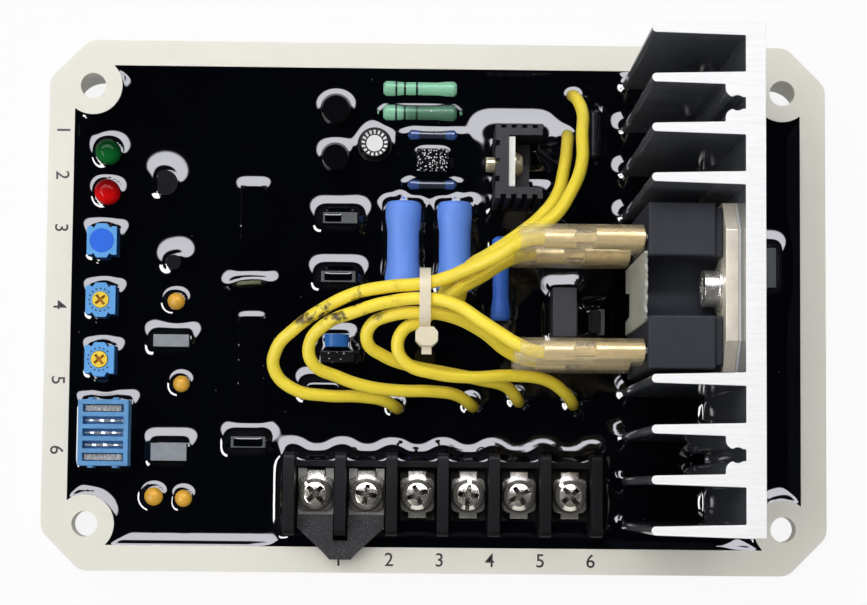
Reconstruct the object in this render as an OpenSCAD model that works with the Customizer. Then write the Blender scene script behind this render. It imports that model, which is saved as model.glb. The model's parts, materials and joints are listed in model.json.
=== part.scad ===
// Potted automatic voltage regulator for a small generator: a moulded tray filled with resin,
// a power module on an upright finned heat sink, a barrier terminal strip and set-point trimmers.
// Millimetres, +Z up, origin under the middle of the tray. X runs along the tray.

/* [Tray] */
// Length of the tray
tray_l = 135; // [135:1:150]
// Width of the tray
tray_w = 92; // [92:1:104]
// Height of the tray
tray_h = 18; // [17.5:0.5:21]
// Width of the flat rim
rim_w = 4.4; // [4:0.1:5]
// Cut of the outer corners
corner_cut = 6.8; // [5:0.1:8]
// Rounding at the ends of the corner cuts
corner_r = 3; // [1:0.1:4]
// Distance of the mounting holes from the tray's ends
hole_inset_x = 7.5; // [7:0.1:8]
// Distance of the mounting holes from the tray's long sides
hole_inset_y = 8; // [7.5:0.1:8.5]
// Diameter of the mounting holes
hole_d = 4.4; // [4:0.1:4.8]
// Radius of the corner pillars
pillar_r = 5.05; // [5:0.05:5.4]
// Thickness of the tray floor
floor_t = 2; // [1.6:0.1:2.4]
// Thickness of the lug over each corner pocket
lug_t = 3.2; // [2.6:0.1:4]

/* [Board and resin] */
// Resin surface below the rim
resin_drop = 1.5; // [1:0.1:2]
// Height of the board's underside
board_z = 6.8; // [6:0.1:7]
// Thickness of the board
board_t = 1.6; // [1.2:0.1:1.8]
// Gap between board and tray wall
board_gap = 1.4; // [1:0.1:1.8]

/* [Heat sink] */
// Top of the heat sink above the resin
sink_rise = 38; // [36:1:46]
// Gap between the heat sink and the tray's long walls
sink_gap = 2.2; // [2:0.1:3]
// Thickness of the heat sink's back
sink_back = 3.1; // [2.6:0.1:4]
// Length of a fin
fin_l = 14.3; // [13.8:0.1:14.5]
// Fin thickness at the root
fin_root = 2.1; // [1.8:0.1:2.2]
// Fin thickness at the tip
fin_tip = 1.4; // [1.2:0.1:1.6]
// Bore of the screw ports
port_d = 2.3; // [2.1:0.1:2.5]

/* [Power module] */
// Width of the module's base plate
module_w = 26.6; // [25.8:0.2:28.6]
// Height of the module's base plate
module_h = 28; // [27:0.5:30]
// Gap between the module and the inner fins
bay_gap = 1; // [1:0.1:1.6]
// Thickness of the base plate
base_t = 2; // [1.6:0.1:2.2]
// Width of the screw notches in the body
notch_w = 9.2; // [8.4:0.1:9.6]
// Distance of the spade tabs from the ends of the module's body
tab_inset = 4.1; // [4.1:0.1:4.4]
// Width of a spade tab
tab_w = 6.3; // [6:0.1:6.4]
// Thickness of a spade tab
tab_t = 0.8; // [0.7:0.05:0.9]

/* [Leads] */
// Diameter of the hook-up leads
lead_d = 2.1; // [1.9:0.05:2.1]
// Width of the cable tie
tie_w = 1.8; // [1.6:0.1:2.6]
// Thickness of the cable tie
tie_t = 0.9; // [0.8:0.1:1.2]

/* [Terminal strip] */
// Pitch of the screw terminals
way_pitch = 8.65; // [8.6:0.01:8.7]
// Thickness of the barriers
barrier_t = 1.9; // [1.6:0.1:2.1]
// Top of the barriers above the resin
barrier_rise = 8; // [7.5:0.1:9]
// Diameter of the terminal screw heads
screw_head_d = 5.2; // [4.8:0.1:5.4]

/* [Controls] */
// Side of a trimmer
trimmer_s = 5.1; // [5:0.1:5.4]
// Top of the trimmers above the resin
trimmer_rise = 4.8; // [4.4:0.1:5.4]
// Diameter of a trimmer rotor
rotor_d = 2.8; // [2.6:0.1:3]
// Diameter of the indicator lamps
lamp_d = 4.4; // [4.2:0.1:4.8]

/* [Hidden] */
$fn = 40;
clear = 0.04;                       // running clearance of a rotor in its bore
slip = 0.05;                        // clearance of a screw in its hole
cavity_l = tray_l - 2 * rim_w;
cavity_w = tray_w - 2 * rim_w;
hole_x = tray_l / 2 - hole_inset_x;
hole_y = tray_w / 2 - hole_inset_y;
board_top = board_z + board_t;
resin_z = tray_h - resin_drop;
depth = resin_z - board_top;        // resin over the board
// The layout is drawn on a tray of 135 by 92 and spreads with the real one
spread_x = tray_l / 135;
spread_y = tray_w / 92;
post_at = [[-52, 36], [-52, -38], [54, 36], [54, -38]];

sink_x = 46.4 * spread_x;           // front face of the heat sink's back
sink_y = 0.8;                       // middle of the heat sink
sink_w = cavity_w - 2 * sink_gap;
sink_top = resin_z + sink_rise;
bay_w = module_w + 2 * bay_gap;     // room for the module between the inner fins
fin_pitch = (sink_w - bay_w - 2 * fin_root) / 6;
fin_at = [for (s = [-1, 1], i = [0 : 3]) sink_y + s * ((bay_w + fin_root) / 2 + i * fin_pitch)];
port_x = sink_x - 1.25;
port_at = [for (s = [-1, 1]) sink_y + s * ((bay_w + fin_root) / 2 + 1.5 * fin_pitch)];
port_deep = 3.1;                    // how far the screw ports stand out of the back

pad_t = 0.3;
base_x = sink_x - pad_t - base_t;   // front face of the module's base plate
module_y = sink_y - 0.6;
module_z = resin_z + 20;            // middle of the module
body_x = base_x - 11.8;             // front face of the module's body
body_h = module_h - 2;
screw_z = module_h / 2 - 5;         // module screws above and below the middle
tab_pitch = body_h - 2 * tab_inset; // spacing of the spade tabs both ways
tab_y = module_y - 1.2;
tab_l = 8;
crimp_x = body_x - 15.8;            // where a lead enters its crimp
neck_x = crimp_x + 4.5;
box_x = neck_x + 3.4;               // rear end of a receptacle's box

lead_r = lead_d / 2;
upper = tab_y + tab_pitch / 2;
lower = tab_y - tab_pitch / 2;
front = module_z + tab_pitch / 2 - resin_z;
rear = module_z - tab_pitch / 2 - resin_z;
// Routes of the leads: X, Y and height over the resin, from behind the sleeve or the first entry to the last
route_1 = [[9.5, 5.5, 27], [6, 4, 25],
  [1, 2.2, 23], [-2, 1.5, 22], [-8, 1, 21], [-13.5, 0, 19.5], [-19, -2.5, 17.5], [-23.5, -5.5, 15.5],
  [-26.5, -8.5, 13.5], [-27, -12, 11.5], [-24, -15, 10], [-18.5, -16, 8], [-13, -16, 6], [-9, -16.5, 4.5],
  [-7, -17.5, 2]];
route_2 = [[9.5, -6.8, 27], [7, -5, 25.5],
  [2.5, -2, 23.5], [-2, -1, 22], [-8, -1.5, 21], [-13.5, -3, 19.5], [-18.5, -5, 17.5], [-21, -8, 15.5],
  [-20.5, -11, 14], [-16.5, -13, 11.5], [-11.5, -14.5, 9.5], [-6, -15, 7.5], [-0.5, -15, 6], [3.5, -15.5, 4.5],
  [6, -17, 2]];
route_3 = [[7, -5.5, 16.5], [2, -3.5, 19],
  [-2.5, -3, 19.5], [-8, -3.5, 18.5], [-11, -5, 17], [-11.5, -7.5, 15.5], [-9, -9.5, 13], [-4.5, -11, 11],
  [1.5, -12, 9], [7.5, -13, 7], [12, -14, 4.5], [14, -16, 2]];
route_4 = [[7, 3.5, 14], [3, 1, 15.5], [0, -1.5, 16],
  [-2.5, -4, 16.5], [-5.5, -5.5, 16.5], [-6.5, -8.5, 16], [-5, -11, 15.5], [-0.5, -12.5, 14.5],
  [5.5, -13, 13], [12.5, -12.5, 10.5], [18.5, -13, 8], [22, -15, 5], [23.5, -16.5, 2]];
route_5 = [[23.5, 37, 2], [24.5, 33, 7.5], [24, 28, 12.5], [23.5, 22, 16.5], [21.5, 17, 19.5], [18.5, 12.5, 21.5],
  [14, 9.5, 22.5], [9, 6.5, 21.5], [5, 4.5, 19], [2.5, 3.5, 15], [1.5, 2, 10], [0.5, 0.5, 6], [0, -0.5, 2]];
route_6 = [[22.5, 30, 2], [22, 27, 6.5], [21, 22, 11.5], [19.5, 17, 15.5], [17, 13.5, 17.5], [13, 10, 19],
  [8.5, 7, 18], [5.5, 5.5, 15], [4.5, 4, 10.5], [4, 1.5, 6], [3.5, 0, 2]];
tie_x = -2.1 * spread_x;
tie_low = 17.2;
tie_high = 23.2;

ways = 6;
strip_w = ways * way_pitch + barrier_t;
strip_l = 14;
strip_front = 0.8 - strip_l / 2;    // front and back of the floor from the middle of the strip
strip_back = strip_l / 2 - 1.3;
wall_t = 1.1;
barrier_r = 1.1;
strip_x = sink_x - fin_l - 3.9 - strip_w / 2; // middle of the terminal strip
strip_y = -cavity_w / 2 + strip_l / 2 + 2.1;
seat_z = resin_z + 1.8;             // floor between the barriers
plate_t = 0.8;
blade_t = 0.8;
fork_w = 6.1;                       // width of the link's forks
clamp_t = 1;
clamp_s = 5.9;
clamp_r = 1.2;
clamp_z = seat_z + plate_t + blade_t;
head_z = clamp_z + clamp_t;
head_h = 1.9;
shank_r = 1.5;
screw_turn = [-45, -10, 21, 85, 30, -50]; // how far each screw is turned

control_x = -57.4 * spread_x;
trimmer_at = [for (y = [10.4, 0.2, -10]) y * spread_y];
lamp_at = [for (y = [26.3, 19.3]) y * spread_y];
trimmer_top = resin_z + trimmer_rise;
selector_at = [-56.6 * spread_x, -22.45 * spread_y];
selector_size = [8.6, 11.3];
selector_top = resin_z + 4.5;
slot_pitch = 2.08;
clip_at = [9.4 * spread_x, 22.9 * spread_y]; // rear face and middle of the clip-on heat sink
clip_w = 12.5;
clip_l = 8.4;
clip_top = resin_z + 15;
clip_screw_z = resin_z + 11.5;

// Shared shapes

// Points along an arc, and a list of points in the other order
function arc(at, r, first, last) = [for (a = [first : 15 : last]) at + r * [cos(a), sin(a)]];
function turned(p) = [for (i = [len(p) - 1 : -1 : 0]) p[i]];

// A place of the drawn layout on the real tray
function place(p) = [p[0] * spread_x, p[1] * spread_y];

// A box standing on the board, up to a height over the resin
module stand(at, size, rise) {
  p = place(at);
  translate([p[0] - size[0] / 2, p[1] - size[1] / 2, board_top])
    cube([size[0], size[1], depth + rise]);
}

// A round part standing on the board
module post(at, d, rise) {
  translate(place(at))
    translate([0, 0, board_top])
      cylinder(d = d, h = depth + rise);
}

// A thin leg from the board up into a part
module leg(x, y, top) {
  translate([x, y, board_top])
    cylinder(d = 0.7, h = top - board_top, $fn = 16);
}

// A bar with two round ends, lying along Y
module stadium(w, h) {
  square([w, h - w], center = true);
  for (s = [-1, 1])
    translate([0, s * (h - w) / 2])
      circle(d = w);
}

// A dumb-bell resistor along X with its two legs
module axial(length, d_end, d_mid, cap, z) {
  waist = (length - 2 * cap) / 2;
  translate([0, 0, z])
    rotate([0, 90, 0])
      rotate_extrude()
        polygon([[0, -length / 2], [d_end / 2 - 0.4, -length / 2], [d_end / 2, -length / 2 + 0.5],
          [d_end / 2, -waist - cap / 3], [d_mid / 2, -waist + cap / 3], [d_mid / 2, waist - cap / 3],
          [d_end / 2, waist + cap / 3], [d_end / 2, length / 2 - 0.5], [d_end / 2 - 0.4, length / 2],
          [0, length / 2]]);
  for (s = [-1, 1]) {
    translate([s * (length / 2 + 0.2), 0, z])
      rotate([0, 90, 0])
        cylinder(d = 0.6, h = 1, center = true, $fn = 16);
    leg(s * (length / 2 + 0.7), 0, z + 0.4);
  }
}

// A swept lead: rings of eight along a route, each square to the way the route runs there
function unit(v) = v / norm(v);
function along(p) = [for (i = [0 : len(p) - 1]) unit(p[min(i + 1, len(p) - 1)] - p[max(i - 1, 0)])];
function carry(t, n, i = 0) = i == len(t) ? [] :
  let (m = unit(n - (n * t[i]) * t[i])) concat([m], carry(t, m, i + 1));
function ring(p, t, n, r) = [for (k = [0 : 7]) p + r * (cos(45 * k) * n + sin(45 * k) * cross(t, n))];
function lift(p) = [for (q = p) [q[0] * spread_x, q[1] * spread_y, resin_z + q[2]]];
function down(q) = [q[0], q[1], board_top];

module sweep(p, r) {
  t = along(p);
  n = carry(t, abs(t[0][2]) > 0.9 ? [1, 0, 0] : [0, 0, 1]);
  last = len(p) - 1;
  pts = [for (i = [0 : last]) each ring(p[i], t[i], n[i], r)];
  sides = [for (i = [0 : last - 1], k = [0 : 7]) each
    let (a = 8 * i + k, b = 8 * i + (k + 1) % 8) [[a, b + 8, b], [a, a + 8, b + 8]]];
  ends = [[0, 1, 2, 3, 4, 5, 6, 7], [for (k = [7 : -1 : 0]) 8 * last + k]];
  polyhedron(pts, concat(sides, ends));
}

// A lead from a crimp down to the board, leaning out of its sleeve's mouth
module crimped_lead(y, z, lean, route) {
  p = lift(route);
  crimp = [[neck_x, y, resin_z + z], [crimp_x - 1, y, resin_z + z],
    [crimp_x - 4, y + lean[0], resin_z + z + lean[1]]];
  color("gold")
    sweep(concat(crimp, p, [down(p[len(p) - 1])]), lead_r);
}

// A lead from the board over to the board
module jumper_lead(route) {
  p = lift(route);
  color("gold")
    sweep(concat([down(p[0])], p, [down(p[len(p) - 1])]), lead_r);
}

// The straight holes the leads leave in the resin
module lead_entries() {
  for (r = [route_1, route_2, route_3, route_4, route_5, route_6])
    entry(r[len(r) - 1]);
  for (r = [route_5, route_6])
    entry(r[0]);
}

module entry(q) {
  translate(place(q))
    translate([0, 0, board_top])
      cylinder(r = lead_r, h = depth + 2);
}

// Tray, board and resin

module outline() {
  x = tray_l / 2 - corner_r;
  y = tray_w / 2 - corner_r;
  cut = corner_cut - corner_r * (1 - tan(22.5));
  corner = concat(arc([x, y - cut], corner_r, 0, 45), arc([x - cut, y], corner_r, 45, 90));
  polygon(concat(corner, turned([for (q = corner) [-q[0], q[1]]]), [for (q = corner) -q],
    turned([for (q = corner) [q[0], -q[1]]])));
}

module pillars() {
  for (sx = [-1, 1], sy = [-1, 1])
    translate([sx * hole_x, sy * hole_y]) {
      circle(r = pillar_r);
      translate([sx > 0 ? 0 : -hole_inset_x, sy > 0 ? 0 : -hole_inset_y])
        square([hole_inset_x, hole_inset_y]);
    }
}

module cavity() {
  difference() {
    square([cavity_l, cavity_w], center = true);
    pillars();
  }
}

module board_posts() {
  for (p = post_at)
    translate(place(p))
      translate([0, 0, floor_t])
        cylinder(d = 5, h = board_z - floor_t);
}

module tray() {
  color("ivory") {
    difference() {
      linear_extrude(tray_h)
        outline();
      translate([0, 0, floor_t])
        linear_extrude(tray_h)
          cavity();
      for (sx = [-1, 1], sy = [-1, 1])
        translate([sx * hole_x, sy * hole_y, 0]) {
          translate([0, 0, -1])
            cylinder(d = hole_d, h = tray_h + 2);
          translate([0, 0, -1])
            cylinder(r = pillar_r - 1.5, h = tray_h - lug_t + 1);
        }
    }
    board_posts();
  }
}

module board_blank() {
  translate([0, 0, board_z])
    linear_extrude(board_t)
      difference() {
        square([cavity_l - 2 * board_gap, cavity_w - 2 * board_gap], center = true);
        for (sx = [-1, 1], sy = [-1, 1])
          translate([sx * hole_x, sy * hole_y])
            square(2 * pillar_r + 1.2, center = true);
      }
}

module circuit_board() {
  color("darkgreen")
    difference() {
      board_blank();
      for (y = port_at)
        translate([port_x, y, board_z - 1])
          cylinder(d = port_d + 2 * slip, h = board_t + 2);
    }
}

module potting_resin() {
  color("black")
    difference() {
      translate([0, 0, floor_t])
        linear_extrude(resin_z - floor_t)
          cavity();
      board_posts();
      board_blank();
      heat_sink();
      heat_sink_screws();
      terminal_block();
      for (y = trimmer_at)
        trimmer_blank(y);
      selector_blank();
      for (y = lamp_at)
        lamp(y);
      bead_capacitors();
      grey_capacitors();
      box_capacitors();
      electrolytics();
      can_capacitor();
      small_transistors();
      coated_chips();
      disc_capacitor();
      blue_capacitor();
      coated_box();
      green_resistors();
      small_resistors();
      power_resistors();
      slim_resistor();
      clip_sink();
      transistor();
      tall_capacitor();
      coated_diode();
      lead_entries();
    }
}

// Heat sink and power module

module fin() {
  tip = fin_l - fin_tip / 2;
  polygon([[0.5, fin_root / 2], [0, fin_root / 2], [-tip, fin_tip / 2], [-tip, -fin_tip / 2], [0, -fin_root / 2],
    [0.5, -fin_root / 2]]);
  translate([-tip, 0])
    circle(d = fin_tip);
}

// One side of a screw port: a block against the fin, round towards the slot
module port_lobe() {
  slot = port_d * 0.38;
  r = 1.4;
  w = fin_pitch / 2;
  translate([-port_deep + r, slot])
    square([port_deep - r + 0.1, w - slot]);
  translate([-port_deep, slot + r])
    square([port_deep + 0.1, w - slot - r]);
  translate([-port_deep + r, slot + r])
    circle(r = r);
}

module sink_profile() {
  difference() {
    union() {
      translate([sink_x, sink_y - sink_w / 2])
        square([sink_back, sink_w]);
      for (y = fin_at)
        translate([sink_x, y])
          fin();
      for (y = port_at)
        translate([sink_x, y]) {
          port_lobe();
          mirror([0, 1])
            port_lobe();
        }
    }
    for (y = port_at)
      translate([port_x, y])
        circle(d = port_d);
  }
}

module screw_bore(z) {
  translate([sink_x - 1, module_y, z])
    rotate([0, 90, 0])
      cylinder(d = 3.2, h = sink_back + 2);
}

module heat_sink() {
  color("dimgray")
    difference() {
      translate([0, 0, board_top])
        linear_extrude(sink_top - board_top)
          sink_profile();
      for (s = [-1, 1])
        screw_bore(module_z + s * screw_z);
    }
}

module heat_sink_screws() {
  color("silver")
    for (y = port_at)
      translate([port_x, y, 0]) {
        translate([0, 0, board_z - 2])
          cylinder(d = 5, h = 2);
        translate([0, 0, board_z - 0.5])
          cylinder(d = port_d, h = board_t + 8);
      }
}

// The module's faces are drawn in the YZ plane and pushed along X
module face(x, t) {
  translate([x, module_y, module_z])
    rotate([90, 0, 90])
      linear_extrude(t)
        children();
}

module notches() {
  for (s = [-1, 1])
    translate([0, s * screw_z]) {
      circle(d = notch_w);
      translate([-notch_w / 2, s > 0 ? 0 : -module_h])
        square([notch_w, module_h]);
    }
}

module module_body() {
  color([0.12, 0.12, 0.13]) {
    face(body_x, 10.5)
      difference() {
        square([module_w - 0.6, body_h], center = true);
        notches();
      }
    face(body_x + 10.5, base_x - body_x - 10.5)
      difference() {
        square([module_w - 2, body_h - 2], center = true);
        notches();
      }
  }
}

module module_front() {
  color("gainsboro")
    face(body_x - 0.4, 0.4)
      difference() {
        union() {
          square([11, 7.6], center = true);
          square([5.2, 8], center = true);
        }
        translate([-4.6, 3])
          square([3, 3], center = true);
      }
}

module base_outline() {
  a = module_w / 2;
  b = module_h / 2;
  c = 4.7;
  d = 3.2;
  polygon([[-a + c, -b], [a - c, -b], [a, -b + d], [a, b - d], [a - c, b], [-a + c, b], [-a, b - d], [-a, -b + d]]);
}

module base_plate(x, t) {
  face(x, t)
    difference() {
      base_outline();
      for (s = [-1, 1])
        translate([0, s * screw_z])
          circle(d = 3.2);
    }
}

module module_base() {
  color("linen")
    base_plate(base_x, base_t);
}

module thermal_pad() {
  color("lightgray")
    base_plate(sink_x - pad_t, pad_t);
}

module module_screws() {
  color("silver")
    for (s = [-1, 1])
      translate([base_x, module_y, module_z + s * screw_z])
        rotate([0, 90, 0])
          difference() {
            union() {
              translate([0, 0, -0.6])
                cylinder(d = 7, h = 0.6);
              translate([0, 0, -2.8])
                cylinder(d = 5.8, h = 2.3);
              translate([0, 0, -0.5])
                cylinder(d = 3.1, h = base_t + pad_t + sink_back);
            }
            cross_slot(3.4, -2.8);
          }
}

// A cross recess sunk from the given level
module cross_slot(l, z) {
  for (a = [0, 90])
    rotate([0, 0, a])
      translate([-l / 2, -0.4, z - 0.3])
        cube([l, 0.8, 1.3]);
}

module each_tab() {
  for (y = [upper, lower], z = [front, rear])
    translate([0, y, resin_z + z])
      children();
}

module module_tabs() {
  color("lightgray")
    each_tab()
      translate([body_x - tab_l + 0.2, -tab_t / 2, -tab_w / 2])
        cube([tab_l - 0.2, tab_t, tab_w]);
}

module receptacles() {
  color("goldenrod")
    each_tab() {
      difference() {
        translate([box_x, 0, 0])
          rotate([90, 0, 90])
            linear_extrude(body_x - 0.4 - box_x)
              stadium(2.6, tab_w + 1);
        translate([body_x - tab_l, -tab_t / 2, -tab_w / 2])
          cube([tab_l, tab_t, tab_w]);
      }
      translate([neck_x, -0.7, -1.5])
        cube([box_x - neck_x + 0.1, 1.4, 3]);
      translate([crimp_x, 0, 0])
        rotate([0, 90, 0])
          difference() {
            cylinder(r = lead_r + 0.45, h = neck_x - crimp_x + 0.4);
            translate([0, 0, -1])
              cylinder(r = lead_r, h = neck_x - crimp_x + 1);
          }
    }
}

module receptacle_sleeves() {
  color([0.9, 0.88, 0.82, 0.5])
    each_tab()
      translate([crimp_x - 3.9, 0, 0])
        rotate([90, 0, 90])
          linear_extrude(body_x - crimp_x + 3.4)
            difference() {
              stadium(4, tab_w + 1.8);
              stadium(3.14, tab_w + 1);
            }
}

// Leads and cable tie

module lead_1() {
  crimped_lead(upper, front, [-0.7, -0.4], route_1);
}

module lead_2() {
  crimped_lead(lower, front, [1.1, -0.4], route_2);
}

module lead_3() {
  crimped_lead(lower, rear, [0.9, 0.9], route_3);
}

module lead_4() {
  crimped_lead(upper, rear, [-0.9, 0.9], route_4);
}

module lead_5() {
  jumper_lead(route_5);
}

module lead_6() {
  jumper_lead(route_6);
}

// The strap runs round the four crimped leads in the YZ plane, with its head under the last of them
module cable_tie() {
  h = tie_high - tie_low;
  color("ivory")
    translate([tie_x, 0, resin_z]) {
      translate([-tie_w / 2, -0.9, (tie_high + tie_low) / 2])
        rotate([90, 0, 90])
          linear_extrude(tie_w)
            difference() {
              rotate([0, 0, 90])
                stadium(h + 2 * tie_t - 0.01, 8.4 + 2 * tie_t);
              rotate([0, 0, 90])
                stadium(h, 8.4);
            }
      translate([0.3, -8.6, tie_low + 2.6])
        linear_extrude(3.2)
          polygon([[-1, 0], [1, 0], [tie_w, 0.8], [tie_w, 2.2], [1.1, 3], [-1.1, 3], [-tie_w, 2.2], [-tie_w, 0.8]]);
      translate([-0.5, -9.9, tie_low + 3.4])
        cube([1.6, 2, tie_t]);
    }
}

// Terminal strip

function way_x(i) = strip_x + (i - (ways - 1) / 2) * way_pitch;

module each_way() {
  for (i = [0 : ways - 1])
    translate([way_x(i), strip_y, 0])
      children();
}

// Side view of a barrier, with its upper corners rounded
module barrier_side() {
  y = strip_l / 2;
  z = depth + barrier_rise;
  polygon(concat([[-y, 0], [y, 0]], arc([y - barrier_r, z - barrier_r], barrier_r, 0, 90),
    arc([barrier_r - y, z - barrier_r], barrier_r, 90, 180)));
}

// The strip's floor and back wall stand in from the ends of the barriers
module terminal_block() {
  translate([strip_x - strip_w / 2, strip_y, board_top]) {
    translate([0, strip_front, 0])
      cube([strip_w, strip_back - strip_front, seat_z - board_top]);
    translate([0, strip_back - wall_t, 0])
      cube([strip_w, wall_t, depth + 4.2]);
  }
  for (i = [0 : ways])
    translate([way_x(i) - way_pitch / 2 - barrier_t / 2, strip_y, board_top])
      rotate([90, 0, 90])
        linear_extrude(barrier_t)
          barrier_side();
}

module terminal_body() {
  color([0.1, 0.1, 0.1])
    difference() {
      terminal_block();
      each_way()
        translate([0, 0, seat_z - 5])
          cylinder(r = shank_r + slip, h = 6);
    }
}

module terminal_contacts() {
  color("silver")
    each_way()
      translate([0, 0, seat_z])
        difference() {
          translate([-3, -4.4, 0])
            cube([6, strip_back - wall_t + 4.3, plate_t]);
          cylinder(r = shank_r + slip, h = 3, center = true);
        }
}

// Square clamps with a tab at the back, and one at the front where no link lies
module clamp_outline(front_tab) {
  s = clamp_s / 2 - clamp_r;
  polygon(concat(arc([s, s], clamp_r, 0, 90), arc([-s, s], clamp_r, 90, 180), arc([-s, -s], clamp_r, 180, 270),
    arc([s, -s], clamp_r, 270, 360)));
  translate([-1.55, front_tab ? -clamp_s / 2 - 1 : 0])
    square([3.1, clamp_s / 2 + (front_tab ? 2.1 + clamp_s / 2 : 1.1)]);
}

module terminal_clamps() {
  color("silver")
    for (i = [0 : ways - 1])
      translate([way_x(i), strip_y, clamp_z])
        difference() {
          linear_extrude(clamp_t)
            clamp_outline(i > 1);
          cylinder(r = shank_r + slip, h = 3, center = true);
        }
}

module terminal_screws() {
  color("silver")
    for (i = [0 : ways - 1])
      translate([way_x(i), strip_y, 0])
        difference() {
          union() {
            translate([0, 0, head_z])
              cylinder(d = screw_head_d, h = head_h - 0.5);
            translate([0, 0, head_z + head_h - 0.5])
              cylinder(d1 = screw_head_d, d2 = screw_head_d - 1.4, h = 0.5);
            translate([0, 0, seat_z - 4.6])
              cylinder(r = shank_r, h = head_z - seat_z + 5);
          }
          translate([0, 0, head_z + head_h])
            rotate([0, 0, screw_turn[i]]) {
              cross_slot(3.4, -0.7);
              translate([-screw_head_d, -0.35, -0.55])
                cube([2 * screw_head_d, 0.7, 1]);
            }
        }
}

// The insulated link lies over the first two ways, with a finger tip past the tray's edge
module link_cover() {
  mid = (way_x(0) + way_x(1)) / 2;
  w = way_pitch - barrier_t / 2 - 0.35;
  color([0.12, 0.12, 0.12])
    translate([mid, strip_y, 0])
      difference() {
        translate([0, 0, clamp_z - 0.6])
          linear_extrude(2.6)
            polygon([[-w, -3.5], [-w, -5.7], [-3, -9.8], [-1.8, -11.1], [1.8, -11.1], [3, -9.8], [w, -5.7],
              [w, -3.5]]);
        translate([-barrier_t / 2 - 0.3, -strip_l / 2 - 0.9, clamp_z - 1])
          cube([barrier_t + 0.6, 6, 5]);
        for (s = [-1, 1])
          translate([s * way_pitch / 2 - fork_w / 2, -6, clamp_z - blade_t])
            cube([fork_w, 4, blade_t]);
      }
}

module link_fork() {
  color("silver")
    for (i = [0, 1])
      translate([way_x(i), strip_y, clamp_z - blade_t])
        difference() {
          translate([-fork_w / 2, -6, 0])
            cube([fork_w, strip_back - wall_t + 5.8, blade_t]);
          translate([-shank_r - slip, 0, -1])
            cube([2 * shank_r + 2 * slip, 8, 3]);
          translate([0, 0, -1])
            cylinder(r = shank_r + slip, h = 3);
        }
}

// Controls

module trimmer_blank(y) {
  a = trimmer_s / 2;
  b = a - 0.1;
  half = [[-a, b], [-1.7, b], [-1.4, b - 0.3], [-0.9, b + 0.5], [0.9, b + 0.5], [1.4, b - 0.3], [1.7, b], [a, b]];
  translate([control_x, y, board_top])
    linear_extrude(trimmer_top - board_top)
      polygon(concat(half, [for (p = half) -p]));
}

module trimmer(y, d, deep) {
  color("dodgerblue")
    difference() {
      trimmer_blank(y);
      translate([control_x, y, trimmer_top - deep])
        cylinder(d = d, h = deep + 1);
    }
}

module rotor(y) {
  color("yellow")
    translate([control_x, y, trimmer_top - 1.8])
      difference() {
        translate([0, 0, clear])
          cylinder(d = rotor_d, h = 2);
        for (a = [40, 130])
          rotate([0, 0, a])
            translate([-1.05, -0.22, 1.4])
              cube([2.1, 0.44, 1]);
      }
}

module trimmer_1_body() {
  trimmer(trimmer_at[0], 4.1, 0.5);
}

module trimmer_1_seal() {
  color("royalblue")
    translate([control_x, trimmer_at[0], trimmer_top - 0.5])
      cylinder(d = 4.1, h = 0.55);
}

module trimmer_2_body() {
  trimmer(trimmer_at[1], rotor_d + 2 * clear, 1.8);
}

module trimmer_2_rotor() {
  rotor(trimmer_at[1]);
}

module trimmer_3_body() {
  trimmer(trimmer_at[2], rotor_d + 2 * clear, 1.8);
}

module trimmer_3_rotor() {
  rotor(trimmer_at[2]);
}

module selector_blank() {
  w = selector_size[0] / 2;
  h = selector_size[1] / 2;
  translate([selector_at[0], selector_at[1], board_top])
    linear_extrude(selector_top - board_top) {
      polygon([[-w + 0.5, -h], [w - 0.5, -h], [w, -h + 0.5], [w, h], [-w, h], [-w, -h + 0.5]]);
      for (x = [-2.1, 2.1])
        translate([x, 0])
          square([1, 2 * h + 0.7], center = true);
    }
}

module each_slot() {
  for (i = [-2 : 2])
    translate([selector_at[0], selector_at[1] + i * slot_pitch, selector_top])
      children();
}

module selector_block() {
  color("skyblue")
    difference() {
      selector_blank();
      each_slot()
        translate([-3.45, -0.65, -2.5])
          cube([6.9, 1.3, 4]);
    }
}

module selector_contacts() {
  color("silver")
    for (i = [-2 : 2])
      translate([selector_at[0], selector_at[1] + i * slot_pitch, selector_top - 2.5])
        translate([-3.2, abs(i) == 2 ? -0.4 : -0.2, 0])
          cube([6.4, abs(i) == 2 ? 0.8 : 0.4, 2]);
}

module lamp(y) {
  z = resin_z + 1.8;
  translate([control_x + 0.25, y, board_top])
    cylinder(d = lamp_d, h = z - board_top);
  translate([control_x + 0.25, y, z])
    sphere(d = lamp_d);
}

module lamp_green() {
  color("green")
    lamp(lamp_at[0]);
}

module lamp_red() {
  color("red")
    lamp(lamp_at[1]);
}

// Board parts

// A dipped bead: a ball that runs down to a narrow foot with two legs
module bead(at, d, rise) {
  z = resin_z + rise - d / 2;
  translate(place(at)) {
    translate([0, 0, z])
      sphere(d = d);
    translate([0, 0, z - 0.75 * d])
      cylinder(d1 = 0.55 * d, d2 = 0.96 * d, h = 0.75 * d);
    for (s = [-0.13, 0.13])
      leg(s * d, 0, z);
  }
}

module bead_capacitors() {
  color("orange") {
    bead([-45, 0.5], 3.2, 2.2);
    bead([-43.9, -13.8], 2.9, 2.2);
    bead([-48.3, -33.2], 3.4, 2.2);
    bead([-43.2, -33.5], 3, 2.2);
  }
}

module grey_capacitors() {
  color("gray") {
    stand([-45.5, -6.5], [6.2, 2.2], 3);
    stand([-45.6, -25.6], [6.2, 3.1], 3);
  }
}

module box_capacitors() {
  color([0.2, 0.2, 0.2]) {
    stand([-32.1, -23.8], [6, 2], 2.6);
    stand([-16.8, 15.1], [6, 2], 2.6);
    stand([-17, 4.9], [6, 2], 2.6);
    stand([-19.5, -14.4], [5.6, 2], 1.6);
    stand([57.6, 7.2], [2.2, 7], 2.6);
    stand([27.5, -2.5], [3.2, 4.6], 2.2);
  }
}

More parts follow.
